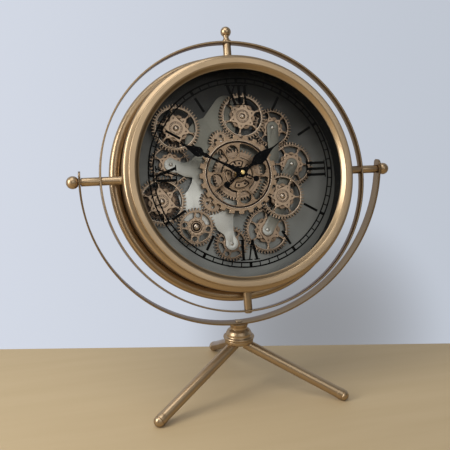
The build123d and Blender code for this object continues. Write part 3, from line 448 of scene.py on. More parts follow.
def turned_metal(name, slot, light, dark, roughness):
    """Bare turned metal with stains and a fine grain."""
    finish = Finish(name, slot, Metallic=1.0)
    stain = finish.band(finish.noise(240, 3), 0.35, 0.7)
    grain = finish.noise(3000, 2)
    colour = finish.mix(stain, light, dark)
    bump = finish.bump(grain, 0.02 * MM, 0.4)
    return finish.done(Base_Color=colour, Roughness=roughness + 0.1 * grain, Normal=bump)


def clear_glass():
    """Window glass: almost clear, with a faint film."""
    finish = Finish("clear_glass", "clear_glass", IOR=1.45)
    film = finish.noise(9, 3)
    colour = finish.mix(film, (0.06, 0.065, 0.07), (0.12, 0.125, 0.13))
    return finish.done(Base_Color=colour, Alpha=0.006 + 0.01 * film, Roughness=0.04 + 0.04 * film)


GOLD = gold_paint("antique_gold", (0.46, 0.335, 0.20), (0.36, 0.25, 0.14))
# Painted shade: the ring and yoke strips take a darker copy of the gold.
SHADED_STRIP_GOLD = gold_paint("strip_gold_painted_shade", (0.31, 0.222, 0.13), (0.24, 0.165, 0.09))
FRONT_BRONZE = gear_bronze("front_gear_bronze", 1.4, 3.3, (0.43, 0.315, 0.215), (0.10, 0.07, 0.05))
# Painted shade: the rear gears take a darker copy of the bronze, as they lie in shade behind the bridge.
SHADED_REAR_BRONZE = gear_bronze("rear_gear_bronze_painted_shade", -7.2, -5.1, (0.37, 0.265, 0.18), (0.085, 0.06, 0.042))
WHEEL_BRONZE = gear_bronze("wheel_bronze", 5.6, 8.5, (0.31, 0.215, 0.135), (0.085, 0.057, 0.037))
# Painted shade: the fine wheel takes a darker copy of the bronze, as it lies in shade behind the coarse
# wheel.
SHADED_FINE_BRONZE = gear_bronze("fine_wheel_bronze_painted_shade", 1.4, 4.2, (0.30, 0.215, 0.145), (0.05, 0.034, 0.023))
PETAL_BRONZE = turned_metal("petal_bronze", "gear_bronze", (0.34, 0.245, 0.165), (0.24, 0.168, 0.11), 0.34)
# Black for painted shade: thin sheets laid where grooves, holes, notches and hollows of the gears fall in
# shade.
PAINTED_SHADE_BLACK = matt_black("gear_painted_shade", "gear_bronze", (0.014, 0.009, 0.007), 0.6)
SILVER = brushed_silver()
GUNMETAL = dial_grey()
LINER_BLACK = matt_black("liner_black", "black_plastic", (0.006, 0.006, 0.006), 0.6)
HAND_BLACK = matt_black("hand_black", "black_paint", (0.0015, 0.0015, 0.0018), 0.6)
PRINT_BLACK = matt_black("print_black", "clear_glass", (0.001, 0.001, 0.001), 0.7)
COVER_COAT = matt_black("cover_black", "cover_black", (0.02, 0.019, 0.018), 0.5)
KNOB_GREY = matt_black("knob_grey", "black_plastic", (0.11, 0.108, 0.10), 0.4)
PLASTIC = matt_black("movement_plastic", "black_plastic", (0.014, 0.014, 0.015), 0.45)
BRASS = turned_metal("turned_brass", "brass_bare", (0.80, 0.62, 0.27), (0.58, 0.42, 0.16), 0.22)
STEEL = turned_metal("turned_steel", "pin_steel", (0.66, 0.63, 0.57), (0.42, 0.40, 0.36), 0.25)
CELL_SLEEVE = turned_metal("cell_sleeve", "cell_case", (0.55, 0.56, 0.58), (0.42, 0.43, 0.45), 0.35)
GLASS = clear_glass()


# Mesh helpers
def turn(bm, profile, steps):
    """Spins a closed profile of (radius, depth) about the depth axis, in a bmesh of its own for speed."""
    alone = bmesh.new()
    corners = [alone.verts.new((radius, depth, 0)) for radius, depth in profile]
    edges = [alone.edges.new((corners[i - 1], corners[i])) for i in range(len(corners))]
    bmesh.ops.spin(alone, geom=corners + edges, axis=(0, 1, 0), angle=2 * pi, steps=steps,
                   use_merge=True)
    turned = bpy.data.meshes.new("turned")
    alone.to_mesh(turned)
    alone.free()
    bm.from_mesh(turned)
    bpy.data.meshes.remove(turned)


def rounded(corners, segments):
    """An outline whose corners (x, y, radius) are rounded by arcs, or kept sharp at radius 0."""
    outline = []
    for i, (x, y, radius) in enumerate(corners):
        here = Vector((x, y))
        to_last = Vector(corners[i - 1][:2]) - here
        to_next = Vector(corners[(i + 1) % len(corners)][:2]) - here
        half = to_last.angle(to_next) / 2
        if radius == 0 or abs(half - pi / 2) < 1e-4:
            outline.append((x, y))
            continue
        run = min(radius / tan(half), 0.499 * to_last.length, 0.499 * to_next.length)
        start = here + to_last.normalized() * run
        end = here + to_next.normalized() * run
        middle = here + (to_last.normalized() + to_next.normalized()).normalized() * run / cos(half)
        sweep = (start - middle).angle_signed(end - middle)
        for k in range(segments + 1):
            spoke = start - middle
            spoke.rotate(Matrix.Rotation(-sweep * k / segments, 2))
            outline.append(tuple(middle + spoke))
    return outline


def arc(radius, centre, start, end, steps=24):
    """Points on a circle between two angles in radians."""
    angles = [start + (end - start) * i / steps for i in range(steps + 1)]
    return [(centre[0] + radius * cos(a), centre[1] + radius * sin(a)) for a in angles]


def circle(radius, centre=(0, 0), points=48):
    """A closed round outline."""
    spots = [polar(radius, 360 * i / points) for i in range(points)]
    return [(centre[0] + x, centre[1] + z) for x, z in spots]


def inset(loop, gap):
    """An outline moved to its left by a gap, mitred at the corners."""
    moved = []
    for i, spot in enumerate(loop):
        here = Vector(spot)
        before = (here - Vector(loop[i - 1])).normalized()
        after = (Vector(loop[(i + 1) % len(loop)]) - here).normalized()
        left = Vector((-before.y - after.y, before.x + after.x)).normalized()
        moved.append(here + left * gap / max(0.5, left.dot(Vector((-before.y, before.x)))))
    return moved


def plate(bm, loops, front, back, soften=0.0):
    """A flat piece between two depths from an outer outline and any holes, with softened front edges."""
    levels = [(back, 0.0), (front + soften, 0.0)]
    if soften:
        levels.append((front, soften))
    caps = [[], []]
    for number, loop in enumerate(loops):
        area = sum(loop[i - 1][0] * z - x * loop[i - 1][1] for i, (x, z) in enumerate(loop))
        if (area > 0) != (number == 0):
            loop = loop[::-1]
        rings = []
        for depth, gap in levels:
            corners = [bm.verts.new((x, depth, z)) for x, z in inset(loop, gap)]
            rings.append([bm.edges.new((corners[i - 1], corners[i])) for i in range(len(corners))])
        for lower, upper in zip(rings, rings[1:]):
            bmesh.ops.bridge_loops(bm, edges=lower + upper)
        caps[0] += rings[0]
        caps[1] += rings[-1]
    for rim in caps:
        bmesh.ops.triangle_fill(bm, use_beauty=True, edges=rim, normal=(0, 1, 0))


def tube(bm, inner, outer, front, back, steps):
    """A plain ring between two depths, or a bar where the inner radius is 0."""
    turn(bm, [(inner, front), (outer, front), (outer, back), (inner, back)], steps)


def dome(bm, radius, height, back, steps):
    """A low dome that rises to the front from a flat back."""
    curve = [(radius * cos(radians(a)), back - height * sin(radians(a))) for a in range(0, 91, 15)]
    turn(bm, [(0, back)] + curve, steps)


def collar(bm, inner, outer, front, back, soften, steps=96):
    """A ring with softened front edges."""
    corners = [(inner, back, 0), (outer, back, 0), (outer, front, soften), (inner, front, soften)]
    turn(bm, rounded(corners, 3), steps)


def raised(bm, inner, outer, face, rise, soften, steps=96):
    """A collar that stands proud of a face and is sunk a little into it."""
    collar(bm, inner, outer, face - rise, face + SUNK, soften, steps)


def block_ring(bm, count, radius, depth, size):
    """A ring of boxes about the depth axis, each with a size outward, deep and along the ring."""
    for i in range(count):
        x, z = polar(radius, 360 * i / count)
        place = Matrix.Translation((x, depth, z)) @ Matrix.Rotation(-2 * pi * i / count, 4, "Y")
        bmesh.ops.create_cube(bm, size=1.0, matrix=place @ Matrix.Diagonal((*size, 1)))


def place_since(bm, first, matrix):
    """Moves all that was added after the first vertices by a matrix."""
    bm.verts.ensure_lookup_table()
    bmesh.ops.transform(bm, matrix=matrix, verts=bm.verts[first:])


def shift(bm, first, x, z):
    """Moves all that was added after the first vertices to (x, z)."""
    place_since(bm, first, Matrix.Translation((x, 0, z)))


def paint_since(bm, first, index):
    """Gives all that was added after the first faces another of the piece's finishes."""
    bm.faces.ensure_lookup_table()
    for face in bm.faces[first:]:
        face.material_index = index


def to_object(bm, name, finishes=()):
    """Links an object with the shape of a bmesh, which is used up, and with finishes."""
    mesh = bpy.data.meshes.new(name)
    bm.to_mesh(mesh)
    bm.free()
    for finish in finishes:
        mesh.materials.append(finish.material)
    made = bpy.data.objects.new(name, mesh)
    bpy.context.scene.collection.objects.link(made)
    return made


def dress(bm, name, body, finishes, nodes, crease):
    """Makes a bmesh in metres a smooth piece that rides on a body and stands for nodes of the frame."""
    made = to_object(bm, name, finishes)
    made.data.shade_smooth()
    made.data.set_sharp_from_angle(angle=radians(crease))
    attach(made, body)
    if nodes:
        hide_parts(*nodes)


def piece(bm, name, body, finishes, nodes=(), place=DIAL):
    """Closes a bmesh in millimetres into a named piece, with one finish or a list of them."""
    finishes = finishes if isinstance(finishes, list) else [finishes]
    bmesh.ops.remove_doubles(bm, verts=bm.verts, dist=WELD)
    bmesh.ops.recalc_face_normals(bm, faces=bm.faces)
    bmesh.ops.transform(bm, matrix=place, verts=bm.verts)
    dress(bm, name, body, finishes, nodes, CREASE)


def turned_piece(profile, segments, steps, name, body, finish, node, place=DIAL):
    """A piece turned from one rounded profile."""
    bm = bmesh.new()
    turn(bm, rounded(profile, segments), steps)
    piece(bm, name, body, finish, [node], place)


def cut_away(bm, notches, front, back):
    """Cuts notches, drawn on the upright clock between two depths, out of a closed solid in metres."""
    cutter = bmesh.new()
    for notch in notches:
        plate(cutter, [notch], front, back)
    bmesh.ops.recalc_face_normals(cutter, faces=cutter.faces)
    bmesh.ops.transform(cutter, matrix=DIAL, verts=cutter.verts)
    helpers = [to_object(bm.copy(), "whole"), to_object(cutter, "cutter")]
    cut = helpers[0].modifiers.new("cut", "BOOLEAN")
    cut.object = helpers[1]
    evaluated = helpers[0].evaluated_get(bpy.context.evaluated_depsgraph_get())
    left = bpy.data.meshes.new_from_object(evaluated)
    bm.clear()
    bm.from_mesh(left)
    for mesh in [left] + [helper.data for helper in helpers]:
        bpy.data.meshes.remove(mesh)


def softened_copy(node, name, body, finish, width, crease=CREASE, notches=(), layer=None):
    """A copy of a node's solid, less any notches, with its sharp edges broken by a small bevel."""
    bm = bmesh.new()
    bm.from_mesh(frame["nodes"][node].data)
    bmesh.ops.remove_doubles(bm, verts=bm.verts, dist=SOLID_WELD)
    if notches:
        cut_away(bm, notches, *layer)
        bmesh.ops.remove_doubles(bm, verts=bm.verts, dist=SOLID_WELD)
    bmesh.ops.dissolve_limit(bm, angle_limit=radians(0.5), verts=bm.verts, edges=bm.edges)
    sharp = [edge for edge in bm.edges if edge.is_manifold and edge.calc_face_angle(0) > radians(50)]
    bmesh.ops.bevel(bm, geom=sharp, offset=width * MM, offset_type="OFFSET", affect="EDGES",
                    segments=2, profile=0.5, material=-1, clamp_overlap=True)
    bmesh.ops.triangulate(bm, faces=bm.faces)
    dress(bm, name, body, [finish], [node], crease)


def axis_spot(joint):
    """Where a joint's axis lies on the upright clock, as (x, z)."""
    spot = TO_DIAL @ Vector(joints[joint]["pos_m"])
    return spot.x, spot.z


def at(spot):
    """Places a piece that is drawn about its own axis at (x, z) on the clock."""
    return DIAL @ Matrix.Translation((spot[0], 0, spot[1]))


def along(start, end):
    """Places a piece drawn along the depth axis from 0 so that it runs from one point towards another."""
    run = Vector(end) - Vector(start)
    turned = Vector((0, 1, 0)).rotation_difference(run).to_matrix().to_4x4()
    return Matrix.Translation(start) @ turned


# Stand
def leg_point(angle, radius):
    """A point on a leg's axis at a radius from the stand's middle."""
    slope = (LEG_ENTRY[1] - FOOT_HEIGHT) / (LEG_REACH - LEG_ENTRY[0])
    return Vector((*polar(radius, angle), FOOT_HEIGHT + (LEG_REACH - radius) * slope))


def legs():
    """Three round bars with a cap on each foot, flat where it stands."""
    caps = bmesh.new()
    for side, angle in LEG_ANGLES.items():
        top, foot = leg_point(angle, LEG_INSET), leg_point(angle, LEG_REACH)
        bar = bmesh.new()
        tube(bar, 0, LEG_DIAMETER / 2, 0, (foot - top).length - FOOT_SKIRT, 64)
        piece(bar, "leg_" + side + "_bar", "stand", GOLD, ["leg_" + side], STAND @ along(top, foot))
        first = len(caps.verts)
        turn(caps, rounded(FOOT_PROFILE, 3) + arc(FOOT_RADIUS, (0, 0), 0, pi / 2, 10), 64)
        place_since(caps, first, along(foot, foot + (foot - top)))
    bmesh.ops.remove_doubles(caps, verts=caps.verts, dist=WELD)
    whole = caps.verts[:] + caps.edges[:] + caps.faces[:]
    cut = bmesh.ops.bisect_plane(caps, geom=whole, plane_co=(0, 0, 0), plane_no=(0, 0, 1), clear_inner=True)
    rim = [item for item in cut["geom_cut"] if isinstance(item, bmesh.types.BMEdge)]
    bmesh.ops.holes_fill(caps, edges=rim)
    piece(caps, "foot_caps_turned", "stand", GOLD, ["foot_caps"], STAND)


legs()
turned_piece(HUB_PROFILE, 5, 96, "hub_turned", "stand", GOLD, "stand_hub", STAND @ UPRIGHT)
turned_piece(HUB_SCREW, 3, 40, "hub_screw_turned", "stand", GOLD, "hub_screw", STAND @ UPRIGHT)
softened_copy("yoke", "yoke_strip", "stand", SHADED_STRIP_GOLD, 0.35)


# Ring, rods and knobs
def spokes(profile, quarters, name, node):
    """Bars turned from one profile, set about the case at some of its quarters."""
    bm = bmesh.new()
    for quarter in quarters:
        first = len(bm.verts)
        turn(bm, rounded(profile, 3), 48)
        outward = Matrix.Rotation(quarter * pi / 2, 4, "Y") @ Matrix.Rotation(-pi / 2, 4, "Z")
        place_since(bm, first, outward)
    piece(bm, name, "clock", GOLD, [node])


def knobs():
    """Two ball knobs, and the finial with its collar and neck."""
    balls = bmesh.new()
    seat = KNOB_CENTRE - KNOB_SEAT
    start = atan2(-seat, sqrt(KNOB_RADIUS**2 - seat**2))
    ball = [(0, KNOB_SEAT)] + arc(KNOB_RADIUS, (0, KNOB_CENTRE), start, pi / 2)
    for side in (-1, 1):
        first = len(balls.verts)
        turn(balls, ball, 64)
        place_since(balls, first, Matrix.Rotation(-side * pi / 2, 4, "Z"))
    first = len(balls.verts)
    top = arc(FINIAL_RADIUS, (0, FINIAL_CENTRE), FINIAL_START, pi / 2)
    turn(balls, rounded(FINIAL_FOOT, 4) + top, 64)
    place_since(balls, first, UPRIGHT)
    piece(balls, "ball_knobs", "clock", GOLD, ["ball_finials"])


turned_piece(RING_PROFILE, 3, 220, "ring_strip", "clock", SHADED_STRIP_GOLD, "gimbal_ring")
spokes(ROD_PROFILE, range(4), "case_rods_turned", "case_rods")
spokes(PIVOT_PROFILE, (0, 2), "pivot_pins_turned", "pivot_pins")
knobs()
turned_piece(RING_SCREW, 4, 40, "ring_screw_turned", "clock", GOLD, "ring_screw", DIAL @ UPRIGHT)


# Case
def case():
    """The spun shell, the bezel, the glass, the black drum and the dial plate."""
    shell = bmesh.new()
    bead = arc(BEAD_RADIUS, BEAD_CENTRE, *BEAD_SWEEP)
    turn(shell, rounded(SHELL_OUTSIDE, 7) + bead + SHELL_INSIDE, 220)
    piece(shell, "case_spun", "clock", GOLD, ["case_shell"])
    turned_piece(BEZEL_PROFILE, 6, 220, "bezel_ring", "clock", GOLD, "bezel")
    turned_piece(GLASS_PROFILE, 2, 128, "glass_pane", "clock", GLASS, "glass")
    drum = bmesh.new()
    tube(drum, *LINER, GLASS_BACK, DIAL_FRONT, 160)
    piece(drum, "inner_drum", "clock", LINER_BLACK, ["inner_wall"])
    disc = bmesh.new()
    tube(disc, 0, DIAL_RADIUS, DIAL_FRONT, DIAL_BACK, 160)
    piece(disc, "dial_disc", "clock", GUNMETAL, ["dial_plate"])


def cover_beads():
    """Two low beads pressed into the back cover, one near its edge and one round the knob."""
    bm = bmesh.new()
    for radius, spot in zip(COVER_BEADS, ((0, 0), axis_spot("knob_turn"))):
        first = len(bm.verts)
        section = [(radius + x, COVER_BACK + rise, soft) for x, rise, soft in COVER_BEAD_SECTION]
        turn(bm, rounded(section, 4), 160)
        shift(bm, first, *spot)
    piece(bm, "cover_beads", "clock", COVER_COAT)


case()
softened_copy("back_cover", "back_cover_disc", "clock", COVER_COAT, 0.25, 12)
cover_beads()
softened_copy("cover_screws", "cover_screw_heads", "clock", STEEL, 0.25)
bays = [rounded(corners, 6) for corners in (WAIST_RIGHT, WAIST_LEFT, LEFT_BAY, UPPER_BAY)]
softened_copy("bridge_plate", "bridge_brushed", "clock", SILVER, 0.2, notches=bays, layer=BRIDGE_CUT)


# Gears
def toothed_outline(count, first, tip, root, tip_share, root_share):
    """Blunt teeth round a rim, from the shares of the pitch that half a tooth takes at its tip and root."""
    pitch = 2 * pi / count
    tooth = ((root, -root_share), (tip, -tip_share), (tip, tip_share), (root, root_share))
    outline = []
    for i in range(count):
        for radius, share in tooth:
            angle = first + (i + share) * pitch
            outline.append((radius * cos(angle), radius * sin(angle)))
    return outline


def fine_teeth(count, first, tip):
    """Narrow blunt teeth, cut a little short of their tip radius."""
    return toothed_outline(count, first, tip - TOOTH_CUT, tip - TOOTH_DEPTH, *FINE_TEETH)


def scaled(radii, size):
    return [size * radius for radius in radii]


def toothed_rim(node, layer, centre):
    """The tip radius of a node's teeth between two depths, and an outline with blunt teeth in their place."""
    spots = [TO_DIAL @ vertex.co for vertex in frame["nodes"][node].data.vertices]
    spots = [spot for spot in spots if layer[0] - 0.1 < spot.y < layer[1] + 0.1]
    spots = [(spot.x - centre[0], spot.z - centre[1]) for spot in spots]
    tip = max(hypot(*spot) for spot in spots)
    angles = sorted({round(atan2(z, x), 3) for x, z in spots if hypot(x, z) > tip - 0.05})
    return tip, fine_teeth(len(angles), angles[0], tip)


def window(inner, outer, middle, width, half_spoke, corner):
    """A rounded window between two radii whose sides run along the spokes."""
    outline = []
    last = WINDOW_POINTS - 1
    for radius, side in ((outer, 1), (inner, -1)):
        spread = width / 2 - degrees(half_spoke / radius)
        for i in range(WINDOW_POINTS):
            spot = polar(radius, middle + spread * (2 * i / last - 1) * side)
            outline.append((*spot, corner if i in (0, last) else 0))
    return rounded(outline, 3)


def dark_ring(bm, inner, outer, front, steps=64):
    """A thin washer in the black of painted shade, just proud of the face that it lies on, standing in for
    the shade of a groove or hollow.
    """
    first = len(bm.faces)
    tube(bm, inner, outer, front, front + 0.2, steps)
    paint_since(bm, first, 1)


def pit(bm, radius, spot, front):
    """A small drilled hole: a disc of painted shade in a raised lip."""
    first = len(bm.verts)
    dark_ring(bm, 0, radius, front - 0.04, 16)
    collar(bm, radius, radius + 0.55, front - 0.3, front + 0.2, 0.2, 16)
    shift(bm, first, *spot)


def lips(bm, spots, inner, outer, face, rise, soften, steps):
    """A raised lip round each of several holes."""
    for spot in spots:
        first = len(bm.verts)
        raised(bm, inner, outer, face, rise, soften, steps)
        shift(bm, first, *spot)


def coin_hub(bm, radius, front, pin_radius):
    """A low disc with a ring of dark dashes round a domed pin: the dashes stand for notches, and they and a
    ring under the disc are painted shade.
    """
    # Painted shade: a dark ring under the disc, which shows as a line round it.
    dark_ring(bm, 0, radius + 0.6, front - 0.05)
    raised(bm, 0.46 * radius, radius, front, 0.25, 0.15, 64)
    # Painted shade: dark dashes for the notches round the disc.
    first = len(bm.faces)
    block_ring(bm, HUB_NOTCHES, 0.83 * radius, front - 0.15, (0.17 * radius, 0.4, 0.12 * radius))
    paint_since(bm, first, 1)
    dome(bm, pin_radius, 1.7, front - 0.05, 40)


def star_plate(bm, reach, phase, front, back):
    """The six-pointed plate with hollow sides, and a lens-shaped petal in each hollow."""
    star = []
    for i in range(6):
        tip = phase + 60 * i
        star += [(*polar(reach, tip - 6), 0.9), (*polar(reach, tip + 6), 0.9)]
        for share in (0.26, 0.38, 0.5, 0.62, 0.74):
            hollow = (0.70 + 2.4 * (share - 0.5) ** 2) * reach
            star.append((*polar(hollow, tip + 60 * share), 0))
        petal = [polar(reach * (0.86 + 0.14 * sin(pi * k / 10)), tip + 10 + 4 * k) for k in range(11)]
        petal += [polar(reach * (0.86 - 0.10 * sin(pi * k / 10)), tip + 50 - 4 * k) for k in range(1, 10)]
        first = len(bm.faces)
        plate(bm, [petal], front + 0.4, back, 0.35)
        paint_since(bm, first, 2)
    plate(bm, [rounded(star, 3)], front, back, 0.35)


def spoked_gear(name, kind, phase, rear=None):
    """A gear with a thin rim, six windows, riveted spokes, a star plate and a coin hub."""
    layer, deep, finish = kind
    spot = axis_spot(name + "_spin")
    tip, outline = toothed_rim(name, layer, spot)
    size = tip / STAR_GEAR_TIP
    front = layer[0]
    star_front = front - STAR_RAISE
    spoke_front = front - SPOKE_RAISE
    angles = [phase + 60 * i for i in range(6)]
    opening = scaled(STAR_WINDOW, size)
    bm = bmesh.new()
    windows = [window(*opening, angle + 30, 60, 1.3 * size, 2.4 * size) for angle in angles]
    plate(bm, [outline, *windows, circle(AXLE_BORE)], front, deep, GEAR_SOFT)
    raised(bm, *scaled(STAR_RIM, size), front, 1.4, 0.7)
    # Painted shade: a dark floor under the star plate, which shows round its edges and petals.
    dark_ring(bm, 0, STAR_FLOOR * size, front - 0.1)
    for angle in angles:
        spoke = [(*polar(hypot(r, w) * size, angle + degrees(atan2(w, r))), 0.6) for r, w in SPOKE]
        plate(bm, [rounded(spoke, 3)], spoke_front, front + 0.5, 0.3)
        pit(bm, 0.9 * size, polar(26.6 * size, angle), spoke_front)
        pit(bm, 1.0 * size, polar(15.2 * size, angle), star_front)
    star_plate(bm, STAR_REACH * size, phase, star_front, front + SUNK)
    coin_hub(bm, COIN_RADIUS * size, star_front, COIN_PIN * size)
    if rear:
        rear_outline = toothed_rim(name, rear, spot)[1]
        plate(bm, [rear_outline, circle(AXLE_BORE)], rear[0], REAR_DEEP, GEAR_SOFT)
        collar(bm, *COMPOUND_SLEEVE, deep - 0.2, rear[0] + 0.2, 0.0)
    piece(bm, name + "_star", name + "_body", [finish, PAINTED_SHADE_BLACK, PETAL_BRONZE], [name], at(spot))


def holed_gear(name, kind, phase, button):
    """A gear with four round holes and four long windows, and maybe a ring of painted shade round a button.
    """
    layer, deep, finish = kind
    spot = axis_spot(name + "_spin")
    tip, outline = toothed_rim(name, layer, spot)
    size = tip / HOLED_GEAR_TIP
    front = layer[0]
    angles = [phase + 90 * i for i in range(4)]
    spots = [polar(HOLE_CIRCLE * size, angle) for angle in angles]
    opening = scaled(HOLED_WINDOW, size)
    bm = bmesh.new()
    holes = [circle(HOLE[0] * size, middle, 28) for middle in spots]
    longs = [window(*opening, angle + 45, 90, 6.2 * size, 2.4 * size) for angle in angles]
    plate(bm, [outline, *holes, *longs, circle(AXLE_BORE)], front, deep, GEAR_SOFT)
    raised(bm, *scaled(HOLED_RIM, size), front, 1.2, 0.6)
    lips(bm, spots, *scaled(HOLE, size), front, 0.5, 0.3, 28)
    raised(bm, *scaled(HOLED_BOSS, size), front, BOSS_RAISE, 0.35)
    for i in range(BOSS_PITS):
        pit(bm, 0.5 * size, polar(10.5 * size, phase + 30 * i + 15), front - BOSS_RAISE)
    if button:
        # Painted shade round the button.
        dark_ring(bm, 0, HOLED_BOSS[0] * size, front - 0.05)
        raised(bm, *scaled(BUTTON_RING, size), front, BOSS_RAISE, 0.35)
        dome(bm, BUTTON_RADIUS * size, 2.4, front, 40)
    piece(bm, name + "_holed", name + "_body", [finish, PAINTED_SHADE_BLACK], [name], at(spot))


def pinion(name, kind, phase):
    """A small gear with a raised rim line, holes and a boss."""
    layer, deep, finish = kind
    spot = axis_spot(name + "_spin")
    tip, outline = toothed_rim(name, layer, spot)
    front = layer[0]
    spots = [polar(PINION_CIRCLE, phase + 360 / PINION_HOLES * i) for i in range(PINION_HOLES)]
    bm = bmesh.new()
    holes = [circle(PINION_HOLE[0], middle, 24) for middle in spots]
    plate(bm, [outline, *holes, circle(AXLE_BORE)], front, deep, GEAR_SOFT)
    raised(bm, tip - 5.6, tip - 4.6, front, 0.5, 0.3, 64)
    lips(bm, spots, *PINION_HOLE, front, 0.35, 0.25, 24)
    raised(bm, *PINION_BOSS, front, 0.5, 0.35, 48)
    piece(bm, name + "_small", name + "_body", [finish, PAINTED_SHADE_BLACK], [name], at(spot))


FRONT_KIND = (FRONT_LAYER, FRONT_DEEP, FRONT_BRONZE)
REAR_KIND = (REAR_LAYER, REAR_DEEP, SHADED_REAR_BRONZE)
for gear, phase in STAR_PHASES.items():
    if gear in COMPOUND_GEARS:
        spoked_gear(gear, FRONT_KIND, phase, REAR_LAYER)
    else:
        spoked_gear(gear, FRONT_KIND if gear == "gear_top" else REAR_KIND, phase)
holed_gear("gear_lower_left", FRONT_KIND, -13, True)
holed_gear("gear_bottom", REAR_KIND, 61, False)
pinion("pinion_upper", FRONT_KIND, 20)
pinion("pinion_lower", FRONT_KIND, 50)
pinion("idler", REAR_KIND, 10)


def coarse_wheel():
    """The blunt-toothed ring over a disc with holes and windows, and kidney bosses round its hub."""
    front, back = WHEEL_LAYER
    angles = [WHEEL_HOLE_TURN + 90 * i for i in range(4)]
    spots = [polar(WHEEL_HOLE_CIRCLE, angle) for angle in angles]
    disc = circle(WHEEL_DISC, points=120)
    bm = bmesh.new()
    teeth = toothed_outline(WHEEL_TEETH, 0, WHEEL_TIP, WHEEL_ROOT, *COARSE_TEETH)
    plate(bm, [teeth, circle(WHEEL_RIM[0], points=120)], front - 1.0, back, 0.4)
    # Painted shade: a dark ring at the foot of the toothed ring.
    dark_ring(bm, WHEEL_GROOVE, WHEEL_DISC, front - 0.05, 120)
    holes = [circle(WHEEL_HOLE[0], spot) for spot in spots]
    longs = [window(*WHEEL_WINDOW, angle + 45, 56, 1.6, 3.6) for angle in angles]
    plate(bm, [disc, *holes, *longs, circle(7.2)], front, back, 0.45)
    collar(bm, *WHEEL_RIM, front - 1.7, front, 0.5, 120)
    raised(bm, *WHEEL_HUB, front, 0.7, 0.45)
    lips(bm, spots, *WHEEL_HOLE, front, 0.6, 0.4, 48)
    for angle in angles:
        # Painted shade: a dark plate round each kidney boss.
        first = len(bm.faces)
        plate(bm, [window(10.9, 21.0, angle, 76, 0, 4.2)], front - 0.78, front)
        paint_since(bm, first, 1)
        plate(bm, [window(12.2, 19.8, angle, 64, 0, 3.6)], front - KIDNEY_RAISE, front, 0.45)
        for side in (-1, 1):
            pit(bm, 1.5, polar(KIDNEY_PITS[0], angle + side * KIDNEY_PITS[1]), front - KIDNEY_RAISE)
    collar(bm, *WHEEL_NOSE, front - KIDNEY_RAISE, front, 0.45)
    tube(bm, *WHEEL_PIPE, front, REAR_LAYER[1], 48)
    piece(bm, "centre_wheel_coarse", "centre", [WHEEL_BRONZE, PAINTED_SHADE_BLACK], ["centre_wheel"])


def fine_wheels():
    """Two fine wheels behind the coarse one. The front one has a crown whose teeth show in the windows."""
    for name, layer, deep, finish in (("fine_wheel", FRONT_LAYER, FRONT_DEEP, SHADED_FINE_BRONZE),
                                      ("rear_wheel", REAR_LAYER, REAR_LAYER[1], SHADED_REAR_BRONZE)):
        bm = bmesh.new()
        front = layer[0]
        tip, outline = toothed_rim(name, layer, (0, 0))
        slots = [window(0.36 * tip, 0.88 * tip, 30 + 60 * i, 60, 1.6, 2.0) for i in range(6)]
        plate(bm, [outline, *slots, circle(WHEEL_PIPE[1])], front, deep, GEAR_SOFT)
        if name == "fine_wheel":
            crown = fine_teeth(CROWN_TEETH, 0, CROWN_TIP)
            plate(bm, [crown, circle(0.68 * CROWN_TIP, points=90)], front - 1.2, front + 1.5, 0.3)
            collar(bm, 0.76 * CROWN_TIP, 0.80 * CROWN_TIP, front - 1.45, front, 0.2)
        piece(bm, name + "_cut", "centre", [finish, PAINTED_SHADE_BLACK], [name])


def pin_heads():
    """Pins with domed screws on the bridge's arms, and plain pins under the front gears."""
    bm = bmesh.new()
    for name in BRIDGE_PINS + PLAIN_PINS:
        first = len(bm.verts)
        if name in BRIDGE_PINS:
            dome(bm, 2.6, 1.3, BRIDGE_FRONT, 32)
            tube(bm, 0, 2.5, BRIDGE_FRONT, DIAL_FRONT, 24)
        else:
            tube(bm, 0, 1.9, -2.9, DIAL_FRONT, 24)
        shift(bm, first, *axis_spot(name + "_spin"))
    piece(bm, "pin_heads", "clock", STEEL, ["gear_pins"])


coarse_wheel()
fine_wheels()
pin_heads()


# Hands and print
def hand(body, stations, disc, turned_by, depth, bore):
    """A flat hand with a bore, and a round tail disc given by its distance and radius."""
    bm = bmesh.new()
    outline = stations + [(x, -w) for x, w in reversed(stations)]
    back = depth + HAND_THICKNESS
    plate(bm, [outline, circle(bore, points=24)], depth, back, 0.12)
    plate(bm, [circle(disc[1], (-disc[0], 0), 32)], depth - 0.02, back - 0.02, 0.12)
    place_since(bm, 0, Matrix.Rotation(-radians(turned_by), 4, "Y"))
    piece(bm, body + "_hand_spade", body, HAND_BLACK, [body + "_hand"])


hand("hour", HOUR_STATIONS, (29, 4.8), HOUR_ANGLE, HOUR_DEPTH, 2.7)
hand("minute", MINUTE_STATIONS, (22, 4.2), MINUTE_ANGLE, MINUTE_DEPTH, 1.7)
turned_piece(NUT_PROFILE, 4, 40, "hand_nut_turned", "minute", BRASS, "hand_nut")


def stroke(bm, start, end, width):
    """A straight printed stroke from one point to another."""
    start, end = Vector(start), Vector(end)
    side = Vector((start.y - end.y, end.x - start.x)).normalized() * width / 2
    corners = [start + side, end + side, end - side, start - side]
    plate(bm, [[tuple(corner) for corner in corners]], *PRINT_LAYER)


def numeral(bm, letters, angle):
    """Roman figures with serifs, but none at the point of a V, and with their tops outward."""
    low, high = NUMERAL_RADII
    first = len(bm.verts)
    x = -sum(LETTERS[letter][0] for letter in letters) / 2
    for letter in letters:
        wide, strokes = LETTERS[letter]
        middle = x + wide / 2
        for top, foot, width in strokes:
            ends = [(middle + top, high), (middle + foot, low)]
            stroke(bm, *ends, width)
            for end, z in ends[:1] if letter == "V" else ends:
                stroke(bm, (end - SERIF_HALF, z), (end + SERIF_HALF, z), SERIF_STROKE)
        x += wide
    place_since(bm, first, Matrix.Rotation(-radians(angle - 90), 4, "Y"))


